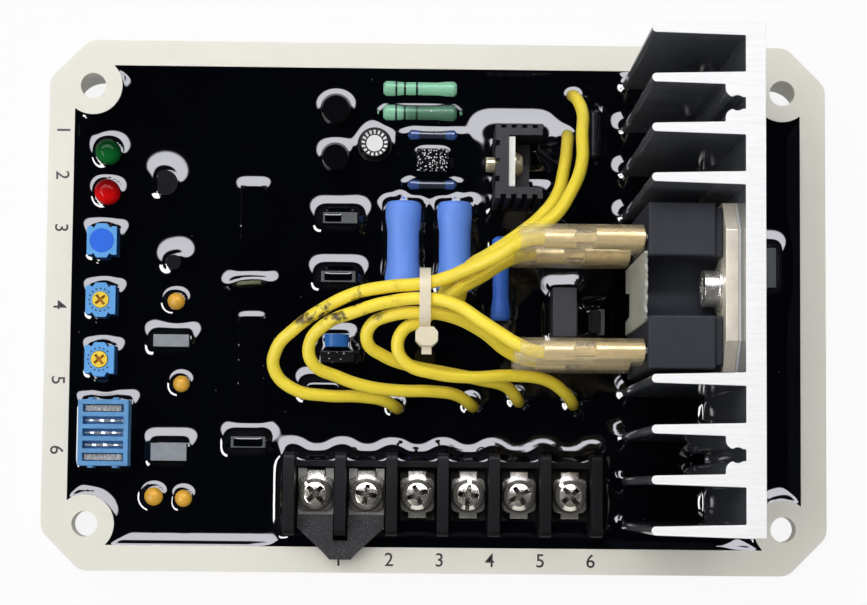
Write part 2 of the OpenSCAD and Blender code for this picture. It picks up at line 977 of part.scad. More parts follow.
module electrolytics() {
  color([0.1, 0.1, 0.1]) {
    post([-17.8, 34.3], 5.4, 2.2);
    post([-17.8, 25.9], 5, 2.2);
  }
}

module can_capacitor() {
  color("white")
    difference() {
      union() {
        post([-11, 28.2], 6, 1.6);
        translate(place([-11, 28.2]))
          translate([0, 0, resin_z + 1.5])
            cylinder(d1 = 5.8, d2 = 4.8, h = 1.3);
      }
      translate(place([-11, 28.2]))
        translate([0, 0, resin_z + 2.5])
          cylinder(d = 4, h = 1);
    }
}

module small_transistors() {
  color([0.15, 0.15, 0.15]) {
    difference() {
      post([-47.2, 21], 4.4, 2);
      translate(place([-47.2, 21]))
        translate([-4.3, -5, resin_z - 4])
          cube([3, 10, 10]);
    }
    post([-45.5, 7.2], 2.6, 1.8);
    post([-44.4, 7.9], 1.6, 1.2);
  }
}

module coated_chips() {
  color([0.07, 0.07, 0.08]) {
    stand([-32, 14.2], [4.6, 13.6], 0.5);
    stand([-32, -10.3], [4.7, 16.7], 0.5);
    stand([-0.9, 25.8], [5.5, 4], 0.8);
  }
}

module disc_capacitor() {
  color("darkolivegreen")
    translate(place([-32.4, 3.7])) {
      translate([0, 0, resin_z - 1.4])
        rotate([90, 0, 4])
          rotate_extrude()
            polygon([[0, -1], [1.9, -0.9], [3.2, -0.6], [3.8, -0.3], [4, 0], [3.8, 0.3], [3.2, 0.6], [1.9, 0.9],
              [0, 1]]);
      for (x = [-2, 2])
        leg(x, 0, resin_z - 3);
    }
}

module blue_capacitor() {
  color("steelblue")
    translate(place([-17.2, -6.1])) {
      translate([0, 0, resin_z + 0.2])
        rotate([90, 0, 0])
          cylinder(d = 4.6, h = 2.2, center = true);
      for (x = [-1.2, 1.2])
        leg(x, 0, resin_z - 1);
    }
}

module coated_box() {
  color([0.3, 0.3, 0.3])
    stand([-17.1, -8.9], [5.8, 2.1], 1.6);
}

module green_resistors() {
  color("seagreen")
    for (y = [38.4, 34.1])
      translate(place([-3.2, y]))
        axial(12.8, 2.9, 2.6, 2.6, resin_z - 0.2);
}

module small_resistors() {
  color("steelblue")
    for (y = [30.2, 21.45])
      translate(place([-0.95, y]))
        axial(8.6, 2, 1.7, 2, resin_z - 0.2);
}

module power_resistors() {
  color("cornflowerblue")
    for (x = [-5.9, 3.1])
      translate(place([x, 10.4]))
        rotate([0, 0, 90])
          axial(15.6, 6.3, 5.6, 4, resin_z + 0.4);
}

module slim_resistor() {
  color("cornflowerblue")
    translate(place([11.1, 5]))
      rotate([0, 0, 90])
        axial(14.6, 3.6, 3.1, 3, resin_z + 0.2);
}

// Clip-on heat sink with its transistor

module clip_profile() {
  w = clip_w / 2;
  difference() {
    union() {
      translate([0, -w + 0.7])
        square([2.2, clip_w - 1.4]);
      for (s = [-1, 1])
        translate([0, s > 0 ? w - 1.9 : -w + 0.7])
          square([clip_l - 0.6, 1.2]);
      for (i = [0 : 4], s = [-1, 1])
        translate([i * 1.75, s > 0 ? w - 0.9 : -w])
          square([0.9, 0.9]);
    }
    for (y = [-3, 0, 3])
      translate([-0.1, y - 0.45])
        square([0.8, 0.9]);
  }
}

module clip_sink() {
  color([0.2, 0.2, 0.2])
    difference() {
      translate([clip_at[0], clip_at[1], board_top])
        linear_extrude(clip_top - board_top)
          clip_profile();
      translate([clip_at[0] - 1, clip_at[1], clip_screw_z])
        rotate([0, 90, 0])
          cylinder(d = 2.6, h = 4);
    }
}

module transistor() {
  x = clip_at[0] + 2.2;
  color("silver")
    difference() {
      translate([x, clip_at[1] - 4.2, resin_z - 1])
        cube([1.1, 8.4, clip_top - resin_z + 0.6]);
      translate([x - 1, clip_at[1], clip_screw_z])
        rotate([0, 90, 0])
          cylinder(d = 2.6, h = 4);
    }
  color([0.2, 0.2, 0.2])
    translate([x + 1.1, clip_at[1] - 4.2, board_top])
      cube([2.8, 8.4, depth + 8]);
}

module transistor_screw() {
  x = clip_at[0] + 3.3;
  color("gold")
    translate([x, clip_at[1], clip_screw_z])
      rotate([0, 90, 0]) {
        translate([0, 0, -4.8])
          cylinder(d = 2.5, h = 5);
        cylinder(d1 = 4.6, d2 = 3, h = 1.4);
      }
}

module tall_capacitor() {
  color("dimgray")
    stand([21.7, -1.4], [4.1, 8.4], 7.5);
}

module coated_diode() {
  color([0.1, 0.1, 0.12])
    translate(place([27.6, 30.6]))
      rotate([0, 0, 90])
        axial(8.6, 2.6, 2.6, 2, resin_z - 0.1);
}

tray();
circuit_board();
potting_resin();
heat_sink();
heat_sink_screws();
module_body();
module_front();
module_base();
thermal_pad();
module_screws();
module_tabs();
receptacles();
receptacle_sleeves();
lead_1();
lead_2();
lead_3();
lead_4();
lead_5();
lead_6();
cable_tie();
terminal_body();
terminal_contacts();
terminal_clamps();
terminal_screws();
link_cover();
link_fork();
trimmer_1_body();
trimmer_1_seal();
trimmer_2_body();
trimmer_2_rotor();
trimmer_3_body();
trimmer_3_rotor();
selector_block();
selector_contacts();
lamp_green();
lamp_red();
bead_capacitors();
grey_capacitors();
box_capacitors();
electrolytics();
can_capacitor();
small_transistors();
coated_chips();
disc_capacitor();
blue_capacitor();
coated_box();
green_resistors();
small_resistors();
power_resistors();
slim_resistor();
clip_sink();
transistor();
transistor_screw();
tall_capacitor();
coated_diode();
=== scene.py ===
"""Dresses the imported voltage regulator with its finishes, leads and resin skin, and sets the studio round it."""

import json
import math
import random

import bmesh
import bpy
from mathutils import Matrix, Vector
from mathutils.bvhtree import BVHTree


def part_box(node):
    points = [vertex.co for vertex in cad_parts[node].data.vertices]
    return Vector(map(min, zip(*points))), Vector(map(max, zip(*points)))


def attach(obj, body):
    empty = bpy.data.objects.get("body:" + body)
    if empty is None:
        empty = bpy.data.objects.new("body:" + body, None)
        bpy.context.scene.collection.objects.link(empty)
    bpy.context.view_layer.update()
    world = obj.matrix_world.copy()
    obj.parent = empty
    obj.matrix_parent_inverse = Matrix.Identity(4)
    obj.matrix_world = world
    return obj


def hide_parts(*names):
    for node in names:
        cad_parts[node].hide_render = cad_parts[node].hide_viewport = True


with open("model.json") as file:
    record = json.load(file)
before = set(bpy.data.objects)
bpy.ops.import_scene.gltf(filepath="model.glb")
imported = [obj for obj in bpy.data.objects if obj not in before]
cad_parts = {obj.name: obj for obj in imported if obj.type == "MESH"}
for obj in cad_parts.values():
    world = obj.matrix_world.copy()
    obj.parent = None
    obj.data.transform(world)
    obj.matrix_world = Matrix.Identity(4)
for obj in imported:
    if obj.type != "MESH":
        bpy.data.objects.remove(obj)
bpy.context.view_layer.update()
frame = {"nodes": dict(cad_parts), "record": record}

bl_info = {
    "name": "Voltage regulator dressing",
    "version": (1, 0, 0),
    "blender": (4, 5, 0),
    "location": "3D View > Sidebar > Regulator",
    "description": "Builds the finishes, leads, resin skin and studio of a potted voltage regulator",
    "category": "Object",
}

MM = 0.001
HOUSING = "housing"
RESIN_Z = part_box("potting_resin")[1].z
TRAY_LOW, TRAY_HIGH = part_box("tray")
RIM_Z = TRAY_HIGH.z
HOLE_X, HOLE_Y = TRAY_HIGH.x - 7.5 * MM, TRAY_HIGH.y - 8 * MM
SLOT_OF = {part["node"]: part["material_slot"] for part in frame["record"]["subparts"]}


def tint(red, green, blue):
    """A display colour of 0 to 255 as the linear colour that renders as it."""
    parts = []
    for value in (red, green, blue):
        value /= 255
        parts.append(value / 12.92 if value <= 0.04045 else ((value + 0.055) / 1.055) ** 2.4)
    return tuple(parts)


# Sizes and colours that a user would change


def length(name, description, default):
    return bpy.props.FloatProperty(name=name, description=description, default=default, unit="LENGTH", precision=5)


def colour(name, description, default):
    return bpy.props.FloatVectorProperty(
        name=name, description=description, default=default, subtype="COLOR", size=3, min=0, max=1
    )


class RegulatorSizes(bpy.types.PropertyGroup):
    """Sizes of what the dressing adds"""

    lead_diameter: length("Lead diameter", "Outer diameter of a hook-up lead", 2.1 * MM)
    skin_step: length("Resin step", "Spacing of the resin surface's points", 0.37 * MM)
    digit_height: length("Digit height", "Height of the printed digits", 2.4 * MM)
    tray_edge: length("Tray edge", "Radius of the tray's moulded edges", 0.5 * MM)
    part_edge: length("Part edge", "Radius of the small parts' edges", 0.16 * MM)
    lens: bpy.props.FloatProperty(
        name="Lens", description="Focal length of the camera", default=69.46, unit="CAMERA"
    )
    lens_shift: bpy.props.FloatProperty(
        name="Lens shift", description="Upward shift of the camera's frame", default=0.1071
    )


class RegulatorColours(bpy.types.PropertyGroup):
    """Colours of the finishes"""

    tray: colour("Tray", "Cream moulded plastic", tint(231, 228, 216))
    resin: colour("Resin", "Black cast resin", tint(4, 5, 9))
    print: colour("Print", "Ink of the digits", tint(28, 28, 28))
    lead: colour("Lead", "Yellow vinyl of the leads", tint(252, 228, 66))
    # Painted shade: the darker yellow that the leads turn near the resin
    smudge: colour("Lead smudge", "Painted shade of the vinyl near the resin", tint(120, 88, 10))
    brass: colour("Brass", "Receptacles", tint(250, 226, 164))
    nickel: colour("Nickel", "Module screws and link", tint(214, 211, 205))
    anodise: colour("Anodised", "Black anodised aluminium", tint(96, 99, 106))
    sawn: colour("Sawn end", "Bare aluminium of the sawn ends", tint(252, 252, 252))
    black: colour("Black plastic", "Terminal strip", tint(15, 15, 17))
    trimmer: colour("Trimmer", "Light blue trimmers", tint(92, 162, 226))
    seal: colour("Seal", "Blue lacquer of the sealed trimmer", tint(34, 104, 224))
    rotor: colour("Rotor", "Yellow trimmer rotor", tint(242, 208, 62))
    lamp_green: colour("Green lamp", "Green lamp body", tint(14, 92, 40))
    lamp_red: colour("Red lamp", "Red lamp body", tint(196, 12, 14))
    bead: colour("Bead", "Orange dipped bead", tint(228, 172, 62))
    grey: colour("Grey case", "Grey capacitor case", tint(136, 141, 147))
    resistor_blue: colour("Blue resistor", "Power resistor enamel", tint(106, 152, 246))
    resistor_green: colour("Green resistor", "Green resistor enamel", tint(138, 200, 166))
    nylon: colour("Nylon", "Natural cable tie", tint(232, 222, 196))


def sizes():
    return bpy.context.scene.regulator_sizes


def colours():
    return bpy.context.scene.regulator_colours


# Shader nodes


def feed(tree, value, socket):
    """Gives a socket a link, a colour or a plain value."""
    if isinstance(value, bpy.types.NodeSocket):
        tree.links.new(value, socket)
    elif socket.type == "RGBA":
        socket.default_value = (*tuple(value)[:3], 1)
    else:
        socket.default_value = value


def node(tree, kind, inputs=None, **settings):
    """A shader node with its settings and what feeds its inputs, by name or number."""
    made = tree.nodes.new("ShaderNode" + kind)
    for key, value in settings.items():
        setattr(made, key, value)
    for key, value in (inputs or {}).items():
        feed(tree, value, made.inputs[key])
    return made


def sums(tree, operation, *values):
    """A Math node over sockets and plain numbers."""
    return node(tree, "Math", dict(enumerate(values)), operation=operation).outputs[0]


def square_sum(tree, x, y):
    return sums(tree, "ADD", sums(tree, "MULTIPLY", x, x), sums(tree, "MULTIPLY", y, y))


def spread_map(tree, value, low, high, to_low=0.0, to_high=1.0):
    """A Map Range node, smooth and clamped."""
    ends = {"Value": value, "From Min": low, "From Max": high, "To Min": to_low, "To Max": to_high}
    return node(tree, "MapRange", ends, interpolation_type="SMOOTHSTEP").outputs["Result"]


def noise(tree, vector, scale, detail, rough):
    ends = {"Vector": vector, "Scale": scale, "Detail": detail, "Roughness": rough}
    return node(tree, "TexNoise", ends).outputs["Fac"]


def blend_colour(tree, amount, first, second):
    """A colour mix; each end is a socket or a linear colour."""
    return node(tree, "Mix", {0: amount, 6: first, 7: second}, data_type="RGBA").outputs[2]


def object_place(tree):
    return node(tree, "TexCoord").outputs["Object"]


def object_axis(tree, axis):
    """One of the object's own coordinates, in metres."""
    return node(tree, "SeparateXYZ", {0: object_place(tree)}).outputs[axis]


# Shader node groups


def group(name, inputs, outputs):
    """An empty node group with named sockets; returns it, its inputs' sockets and those of its outputs."""
    made = bpy.data.node_groups.new(name, "ShaderNodeTree")
    for label, kind, value in inputs:
        socket = made.interface.new_socket(label, in_out="INPUT", socket_type="NodeSocket" + kind)
        socket.default_value = value
    for label, kind in outputs:
        made.interface.new_socket(label, in_out="OUTPUT", socket_type="NodeSocket" + kind)
    return made, made.nodes.new("NodeGroupInput").outputs, made.nodes.new("NodeGroupOutput").inputs


def skin_group(name, extra, pattern):
    """A group that varies a colour and its gloss.

    The pattern gives what the colour follows, how far it may brighten as a share of the variation, and the height that
    the gloss follows.
    """
    shared = [("Color", "Color", (0.5, 0.5, 0.5, 1)), ("Variation", "Float", 0.1)]
    shared += [("Roughness", "Float", 0.4), ("Spread", "Float", 0.1)]
    outputs = [("Color", "Color"), ("Roughness", "Float"), ("Height", "Float")]
    tree, ends, out = group(name, shared + extra, outputs)
    swell, rise, height = pattern(tree, ends)
    low = sums(tree, "SUBTRACT", 1.0, ends["Variation"])
    high = sums(tree, "MULTIPLY_ADD", ends["Variation"], rise, 1.0)
    gain = spread_map(tree, swell, 0.3, 0.7, low, high)
    scaled = node(tree, "VectorMath", {0: ends["Color"], "Scale": gain}, operation="SCALE")
    feed(tree, scaled.outputs[0], out["Color"])
    swing = sums(tree, "SUBTRACT", height, 0.5)
    feed(tree, sums(tree, "MULTIPLY_ADD", swing, ends["Spread"], ends["Roughness"]), out["Roughness"])
    feed(tree, height, out["Height"])
    return tree


def grain_group():
    """Mottled colour, uneven gloss and a fine height for moulded, painted and coated surfaces."""
    def pattern(tree, ends):
        at = object_place(tree)
        return noise(tree, at, ends["Patch Scale"], 4.0, 0.6), 1.0, noise(tree, at, ends["Grain Scale"], 3.0, 0.6)

    return skin_group("Surface grain", [("Patch Scale", "Float", 80.0), ("Grain Scale", "Float", 2500.0)], pattern)


def drawn_group():
    """Streaks along one way, for sawn, rolled and drawn metal."""
    def pattern(tree, ends):
        pulled = node(tree, "VectorMath", {0: object_place(tree), 1: ends["Stretch"]}, operation="MULTIPLY")
        streak = noise(tree, pulled.outputs[0], 1.0, 3.0, 0.6)
        return streak, 0.0, streak

    return skin_group("Drawn metal", [("Stretch", "Vector", (40.0, 4000.0, 4000.0))], pattern)


def speck_group():
    """A mask of scattered small spots, for dust, pits and specks of filler."""
    inputs = [("Scale", "Float", 900.0), ("Size", "Float", 0.16), ("Share", "Float", 0.2)]
    tree, ends, out = group("Specks", inputs, [("Mask", "Float")])
    cells = node(tree, "TexVoronoi", {"Vector": object_place(tree), "Scale": ends["Scale"]}).outputs
    core = sums(tree, "LESS_THAN", cells["Distance"], ends["Size"])
    chance = node(tree, "SeparateColor", {0: cells["Color"]}).outputs[0]
    feed(tree, sums(tree, "MULTIPLY", core, sums(tree, "LESS_THAN", chance, ends["Share"])), out["Mask"])
    return tree


def upward_group():
    """A mask of the faces that look up."""
    tree, ends, out = group("Upward faces", [("Level", "Float", 0.7)], [("Mask", "Float")])
    way = node(tree, "SeparateXYZ", {0: node(tree, "NewGeometry").outputs["True Normal"]})
    feed(tree, sums(tree, "GREATER_THAN", way.outputs[2], ends["Level"]), out["Mask"])
    return tree


def band_group():
    """A mask of one ring round a part that lies along X."""
    tree, ends, out = group("Band", [("Place", "Float", 0.0), ("Width", "Float", MM)], [("Mask", "Float")])
    off = sums(tree, "ABSOLUTE", sums(tree, "SUBTRACT", object_axis(tree, 0), ends["Place"]))
    feed(tree, sums(tree, "LESS_THAN", off, sums(tree, "MULTIPLY", ends["Width"], 0.5)), out["Mask"])
    return tree


def way_group():
    """How open the metal of a terminal way lies, for painted shade in its recesses, and a shallow dome over each of the
    six ways.
    """
    tree, _, out = group("Terminal way", [], [("Open", "Float"), ("Crown", "Float")])
    shade = node(tree, "AmbientOcclusion", {"Distance": 0.9 * MM}, samples=6)
    feed(tree, spread_map(tree, shade.outputs["AO"], 0.45, 0.95), out["Open"])
    low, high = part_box("terminal_screws")
    radius = (high.y - low.y) / 2
    pitch = (high.x - low.x - 2 * radius) / 5
    along = sums(tree, "SUBTRACT", object_axis(tree, 0), low.x + radius - pitch / 2)
    along = sums(tree, "SUBTRACT", sums(tree, "FLOORED_MODULO", along, pitch), pitch / 2)
    across = sums(tree, "SUBTRACT", object_axis(tree, 1), (low.y + high.y) / 2)
    share = sums(tree, "DIVIDE", square_sum(tree, along, across), radius * radius)
    feed(tree, sums(tree, "SUBTRACT", 1.0, share), out["Crown"])
    return tree


GROUPS = {}


def use_group(tree, maker, **values):
    """Places a shared node group, made on first use, with its own values; returns its outputs."""
    if maker not in GROUPS:
        GROUPS[maker] = maker()
    ends = {key.replace("_", " "): value for key, value in values.items()}
    return node(tree, "Group", ends, node_tree=GROUPS[maker]).outputs


# Materials


def blank_material(name):
    """A new material with its tree and its shader."""
    made = bpy.data.materials.new(name)
    made.use_nodes = True
    tree = made.node_tree
    tree.nodes.clear()
    shader = node(tree, "BsdfPrincipled")
    node(tree, "OutputMaterial", {"Surface": shader.outputs[0]})
    return made, tree, shader


def dress(tree, shader, color, rough, height, depth, **values):
    """Feeds a shader its colour, gloss, relief and other values."""
    relief = node(tree, "Bump", {"Strength": 1.0, "Distance": depth, "Height": height})
    values.update({"Base Color": color, "Roughness": rough, "Normal": relief.outputs[0]})
    for key, value in values.items():
        feed(tree, value, shader.inputs[key.replace("_", " ")])


def grained(
    name, base, rough, shine=0.5, variation=0.08, spread=0.12, patch=80.0, grain=2500.0, depth=0.02 * MM, **values
):
    """A moulded, painted or coated finish; base is a colour, or a function of the tree that makes one."""
    made, tree, shader = blank_material(name)
    skin = use_group(
        tree, grain_group, Color=base(tree) if callable(base) else base, Variation=variation, Patch_Scale=patch,
        Grain_Scale=grain, Roughness=rough, Spread=spread,
    )
    dress(tree, shader, *skin, depth, Specular_IOR_Level=shine, **values)
    return made


def drawn(name, base, rough, stretch, variation=0.15, metallic=1.0):
    """A metal finish with streaks along one way."""
    made, tree, shader = blank_material(name)
    skin = use_group(
        tree, drawn_group, Color=base, Stretch=stretch, Variation=variation, Roughness=rough, Spread=0.2
    )
    dress(tree, shader, *skin, 0.01 * MM, Metallic=metallic)
    return made


# Each of these gives a function that makes a base colour for grained()


def speckled(base, spot, scale, size, share):
    """A base colour with scattered spots."""
    def build(tree):
        return blend_colour(tree, use_group(tree, speck_group, Scale=scale, Size=size, Share=share)[0], base, spot)
    return build


def banded(base, dark, bands):
    """A base colour with dark rings, each a place along X and a width."""
    def build(tree):
        rings = [use_group(tree, band_group, Place=place, Width=width)[0] for place, width in bands]
        total = rings[0]
        for ring in rings[1:]:
            total = sums(tree, "MAXIMUM", total, ring)
        return blend_colour(tree, total, base, dark)
    return build


def topped(top, side, level=0.7):
    """One colour on upward faces and another on the sides: painted light that shades the sides darker than the top."""
    def build(tree):
        return blend_colour(tree, use_group(tree, upward_group, Level=level)[0], side, top)
    return build


# Pieces


def placed(name, data):
    """A new object in the scene."""
    made = bpy.data.objects.new(name, data)
    bpy.context.scene.collection.objects.link(made)
    return made


def to_mesh(name, bm):
    bmesh.ops.recalc_face_normals(bm, faces=bm.faces)
    mesh = bpy.data.meshes.new(name)
    bm.to_mesh(mesh)
    bm.free()
    return mesh


def put(name, shape, material, stands_for=None, slot=None, body=HOUSING, smooth=30.0):
    """A mesh or curve as a finished piece of the object, in place of a solid where it stands for one."""
    if isinstance(shape, bmesh.types.BMesh):
        shape = to_mesh(name, shape)
    made = placed(name, shape)
    shape.materials.clear()
    shape.materials.append(material)
    if isinstance(shape, bpy.types.Mesh):
        shape.polygons.foreach_set("use_smooth", [True] * len(shape.polygons))
        shape.set_sharp_from_angle(angle=math.radians(smooth))
    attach(made, body)
    slot = slot or SLOT_OF.get(stands_for)
    if stands_for:
        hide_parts(stands_for)
    return made


def rounded(made, edge, segments, limit):
    """Rounds a piece's edges off."""
    bevel = made.modifiers.new("Edge", "BEVEL")
    bevel.width = edge
    bevel.segments = segments
    bevel.limit_method = "ANGLE"
    bevel.angle_limit = math.radians(limit)
    bevel.harden_normals = True
    return made


def finished(source, material, edge, segments=2, body=HOUSING):
    """A solid's own shape with its edges rounded as moulding, sawing or coating leaves them."""
    limit = 25.0
    bm = bmesh.new()
    bm.from_mesh(frame["nodes"][source].data)
    bmesh.ops.remove_doubles(bm, verts=bm.verts, dist=0.002 * MM)
    bmesh.ops.dissolve_limit(bm, angle_limit=math.radians(0.6), verts=bm.verts, edges=bm.edges)
    made = put(source + "_finish", bm, material, source, body=body, smooth=limit)
    return rounded(made, edge, segments, limit)


def paint(source, material):
    """A CAD solid keeps its shape and takes a finish."""
    mesh = frame["nodes"][source].data
    mesh.materials.clear()
    mesh.materials.append(material)


def sheet(bm, verts):
    """Faces between the neighbours of a grid of points; places without a point stay open."""
    for i, j in verts:
        ring = [(i, j), (i + 1, j), (i + 1, j + 1), (i, j + 1)]
        if all(place in verts for place in ring):
            bm.faces.new([verts[place] for place in ring])


def close_under(bm, level):
    """Drops walls from a sheet's open edges to a level and closes the underside."""
    for item in bmesh.ops.extrude_edge_only(bm, edges=[e for e in bm.edges if e.is_boundary])["geom"]:
        if isinstance(item, bmesh.types.BMVert):
            item.co.z = level
    bmesh.ops.holes_fill(bm, edges=[e for e in bm.edges if e.is_boundary], sides=0)


def lathe(bm, profile, centre, turns=40):
    """Turns (radius, height) pairs round an upright axis through centre and closes both ends."""
    rings = []
    for radius, height in profile:
        ring = []
        for k in range(turns):
            angle = 2 * math.pi * k / turns
            ring.append(bm.verts.new(centre + Vector((radius * math.cos(angle), radius * math.sin(angle), height))))
        rings.append(ring)
    for low, high in zip(rings, rings[1:]):
        for k in range(turns):
            j = (k + 1) % turns
            bm.faces.new((low[k], low[j], high[j], high[k]))
    bm.faces.new(rings[0][::-1])
    bm.faces.new(rings[-1])


def block(bm, low, high):
    """A box between two corners."""
    made = bmesh.ops.create_cube(bm, size=1.0)["verts"]
    for vert in made:
        vert.co = [low[i] + (vert.co[i] + 0.5) * (high[i] - low[i]) for i in range(3)]
    return made


class Step:
    """What every building step shares: it runs as an operator with undo."""

    bl_options = {"REGISTER", "UNDO"}


# Stage

# The photograph's camera: its place, and its turn in degrees
CAMERA_AT = (-3.628 * MM, -31.729 * MM, 305.98 * MM)
CAMERA_TURN = (3.238, -0.675, 0.525)
# The strip lamp: its angle from overhead in radians, and how far off it stands in metres
STRIP_ANGLE = 0.84
STRIP_AWAY = 0.8


class REGULATOR_OT_stage(Step, bpy.types.Operator):
    """Sets the camera, the lamps, the world and the floor"""

    bl_idname = "regulator.stage"
    bl_label = "Stage"

    def execute(self, context):
        scene = context.scene
        scene.view_settings.view_transform = "Standard"
        data = bpy.data.cameras.new("Camera")
        data.sensor_width = 36.0
        data.sensor_fit = "HORIZONTAL"
        data.lens = sizes().lens
        data.shift_y = sizes().lens_shift
        data.clip_start = 0.01
        scene.camera = placed("Camera", data)
        scene.camera.location = CAMERA_AT
        scene.camera.rotation_euler = [math.radians(angle) for angle in CAMERA_TURN]
        self.lamps()
        self.world(scene)
        self.floor()
        return {"FINISHED"}

    def lamp(self, name, at, towards, width, height, radiance):
        """An area lamp at a place that faces another."""
        data = bpy.data.lights.new(name, "AREA")
        data.shape = "RECTANGLE"
        data.size = width
        data.size_y = height
        data.energy = radiance * math.pi * width * height
        made = placed(name, data)
        made.location = at
        made.rotation_euler = (Vector(at) - Vector(towards)).to_track_quat("Z", "Y").to_euler()
        return made

    def lamps(self):
        """A soft key from the upper left that gloss doesn't show, and a low strip at the left that only gloss shows."""
        self.lamp("key", (-0.16, 0.1, 0.55), (0, 0, 0.02), 0.5, 0.5, 2.35).visible_glossy = False
        level = math.sin(STRIP_ANGLE)
        way = Vector((-0.906 * level, -0.423 * level, math.cos(STRIP_ANGLE)))
        self.lamp("strip", way * STRIP_AWAY, (0, 0, 0.017), 0.62, 0.12, 26.0).visible_diffuse = False

    def world(self, scene):
        """An even room: white as backdrop, and for gloss a dark ceiling with a bank of soft boxes past the far edge."""
        scene.world = bpy.data.worlds.new("World")
        scene.world.use_nodes = True
        tree = scene.world.node_tree
        tree.nodes.clear()
        path = node(tree, "LightPath").outputs
        x, y, z = node(tree, "SeparateXYZ", {0: node(tree, "TexCoord").outputs["Generated"]}).outputs
        level = sums(tree, "SQRT", square_sum(tree, x, y))
        ahead = sums(tree, "ADD", y, sums(tree, "MULTIPLY", level, 0.6))
        bank = sums(tree, "MULTIPLY", spread_map(tree, ahead, 0.68, 0.76), spread_map(tree, z, 0.55, 0.6))
        ceiling = blend_colour(tree, spread_map(tree, z, 0.1, 0.7), (0.1, 0.1, 0.11), (0.006, 0.007, 0.01))
        mirrored = blend_colour(tree, bank, ceiling, (12.6, 12.6, 13.6))
        lit = blend_colour(tree, path["Is Glossy Ray"], (0.47, 0.47, 0.475), mirrored)
        seen = sums(tree, "MAXIMUM", path["Is Camera Ray"], path["Is Transmission Ray"])
        sky = node(tree, "Background", {"Color": blend_colour(tree, seen, lit, (1, 1, 1))})
        node(tree, "OutputWorld", {"Surface": sky.outputs[0]})

    def floor(self):
        """White paper just under the tray."""
        half, level = 1.5, -0.05 * MM
        mesh = bpy.data.meshes.new("floor")
        corners = [(-half, -half, level), (half, -half, level), (half, half, level), (-half, half, level)]
        mesh.from_pydata(corners, [], [(0, 1, 2, 3)])
        paper = bpy.data.materials.new("Paper")
        paper.use_nodes = True
        tree = paper.node_tree
        tree.nodes.clear()
        matte = node(tree, "BsdfDiffuse", {"Color": (0.86, 0.86, 0.86)})
        glow = node(tree, "Emission", {"Color": (1, 1, 1)})
        path = node(tree, "LightPath").outputs
        seen = sums(tree, "MAXIMUM", path["Is Camera Ray"], path["Is Transmission Ray"])
        seen = sums(tree, "MAXIMUM", seen, path["Is Glossy Ray"])
        mix = node(tree, "MixShader", {0: sums(tree, "MULTIPLY", seen, 0.9), 1: matte.outputs[0], 2: glow.outputs[0]})
        node(tree, "OutputMaterial", {"Surface": mix.outputs[0]})
        mesh.materials.append(paper)
        placed("floor", mesh)


# Leads

# Routes of the leads in millimetres, heights over the resin, as in the part's source
ROUTES = {
    "lead_1": [
        (21, 7.9, 28.9), (15.5, 7.9, 28.9), (12.5, 7.2, 28.5), (9.5, 5.5, 27), (6, 4, 25), (1, 2.2, 23), (-2, 1.5, 22),
        (-8, 1, 21), (-13.5, 0, 19.5), (-19, -2.5, 17.5), (-23.5, -5.5, 15.5), (-26.5, -8.5, 13.5), (-27, -12, 11.5),
        (-24, -15, 10), (-18.5, -16, 8), (-13, -16, 6), (-9, -16.5, 4.5), (-7, -17.5, 2), (-7, -17.5, -8.1),
    ],
    "lead_2": [
        (21, -9.9, 28.9), (15.5, -9.9, 28.9), (12.5, -8.8, 28.5), (9.5, -6.8, 27), (7, -5, 25.5), (2.5, -2, 23.5),
        (-2, -1, 22), (-8, -1.5, 21), (-13.5, -3, 19.5), (-18.5, -5, 17.5), (-21, -8, 15.5), (-20.5, -11, 14),
        (-16.5, -13, 11.5), (-11.5, -14.5, 9.5), (-6, -15, 7.5), (-0.5, -15, 6), (3.5, -15.5, 4.5), (6, -17, 2),
        (6, -17, -8.1),
    ],
    "lead_3": [
        (21, -9.9, 11.1), (15.5, -9.9, 11.1), (12.5, -9, 12), (7, -5.5, 16.5), (2, -3.5, 19), (-2.5, -3, 19.5),
        (-8, -3.5, 18.5), (-11, -5, 17), (-11.5, -7.5, 15.5), (-9, -9.5, 13), (-4.5, -11, 11), (1.5, -12, 9),
        (7.5, -13, 7), (12, -14, 4.5), (14, -16, 2), (14, -16, -8.1),
    ],
    "lead_4": [
        (21, 7.9, 11.1), (15.5, 7.9, 11.1), (12.5, 7, 12), (7, 3.5, 14), (3, 1, 15.5), (0, -1.5, 16), (-2.5, -4, 16.5),
        (-5.5, -5.5, 16.5), (-6.5, -8.5, 16), (-5, -11, 15.5), (-0.5, -12.5, 14.5), (5.5, -13, 13), (12.5, -12.5, 10.5),
        (18.5, -13, 8), (22, -15, 5), (23.5, -16.5, 2), (23.5, -16.5, -8.1),
    ],
    "lead_5": [
        (23.5, 37, -8.1), (23.5, 37, 2), (24.5, 33, 7.5), (24, 28, 12.5), (23.5, 22, 16.5), (21.5, 17, 19.5),
        (18.5, 12.5, 21.5), (14, 9.5, 22.5), (9, 6.5, 21.5), (5, 4.5, 19), (2.5, 3.5, 15), (1.5, 2, 10), (0.5, 0.5, 6),
        (0, -0.5, 2), (0, -0.5, -8.1),
    ],
    "lead_6": [
        (22.5, 30, -8.1), (22.5, 30, 2), (22, 27, 6.5), (21, 22, 11.5), (19.5, 17, 15.5), (17, 13.5, 17.5),
        (13, 10, 19), (8.5, 7, 18), (5.5, 5.5, 15), (4.5, 4, 10.5), (4, 1.5, 6), (3.5, 0, 2), (3.5, 0, -8.1),
    ],
}


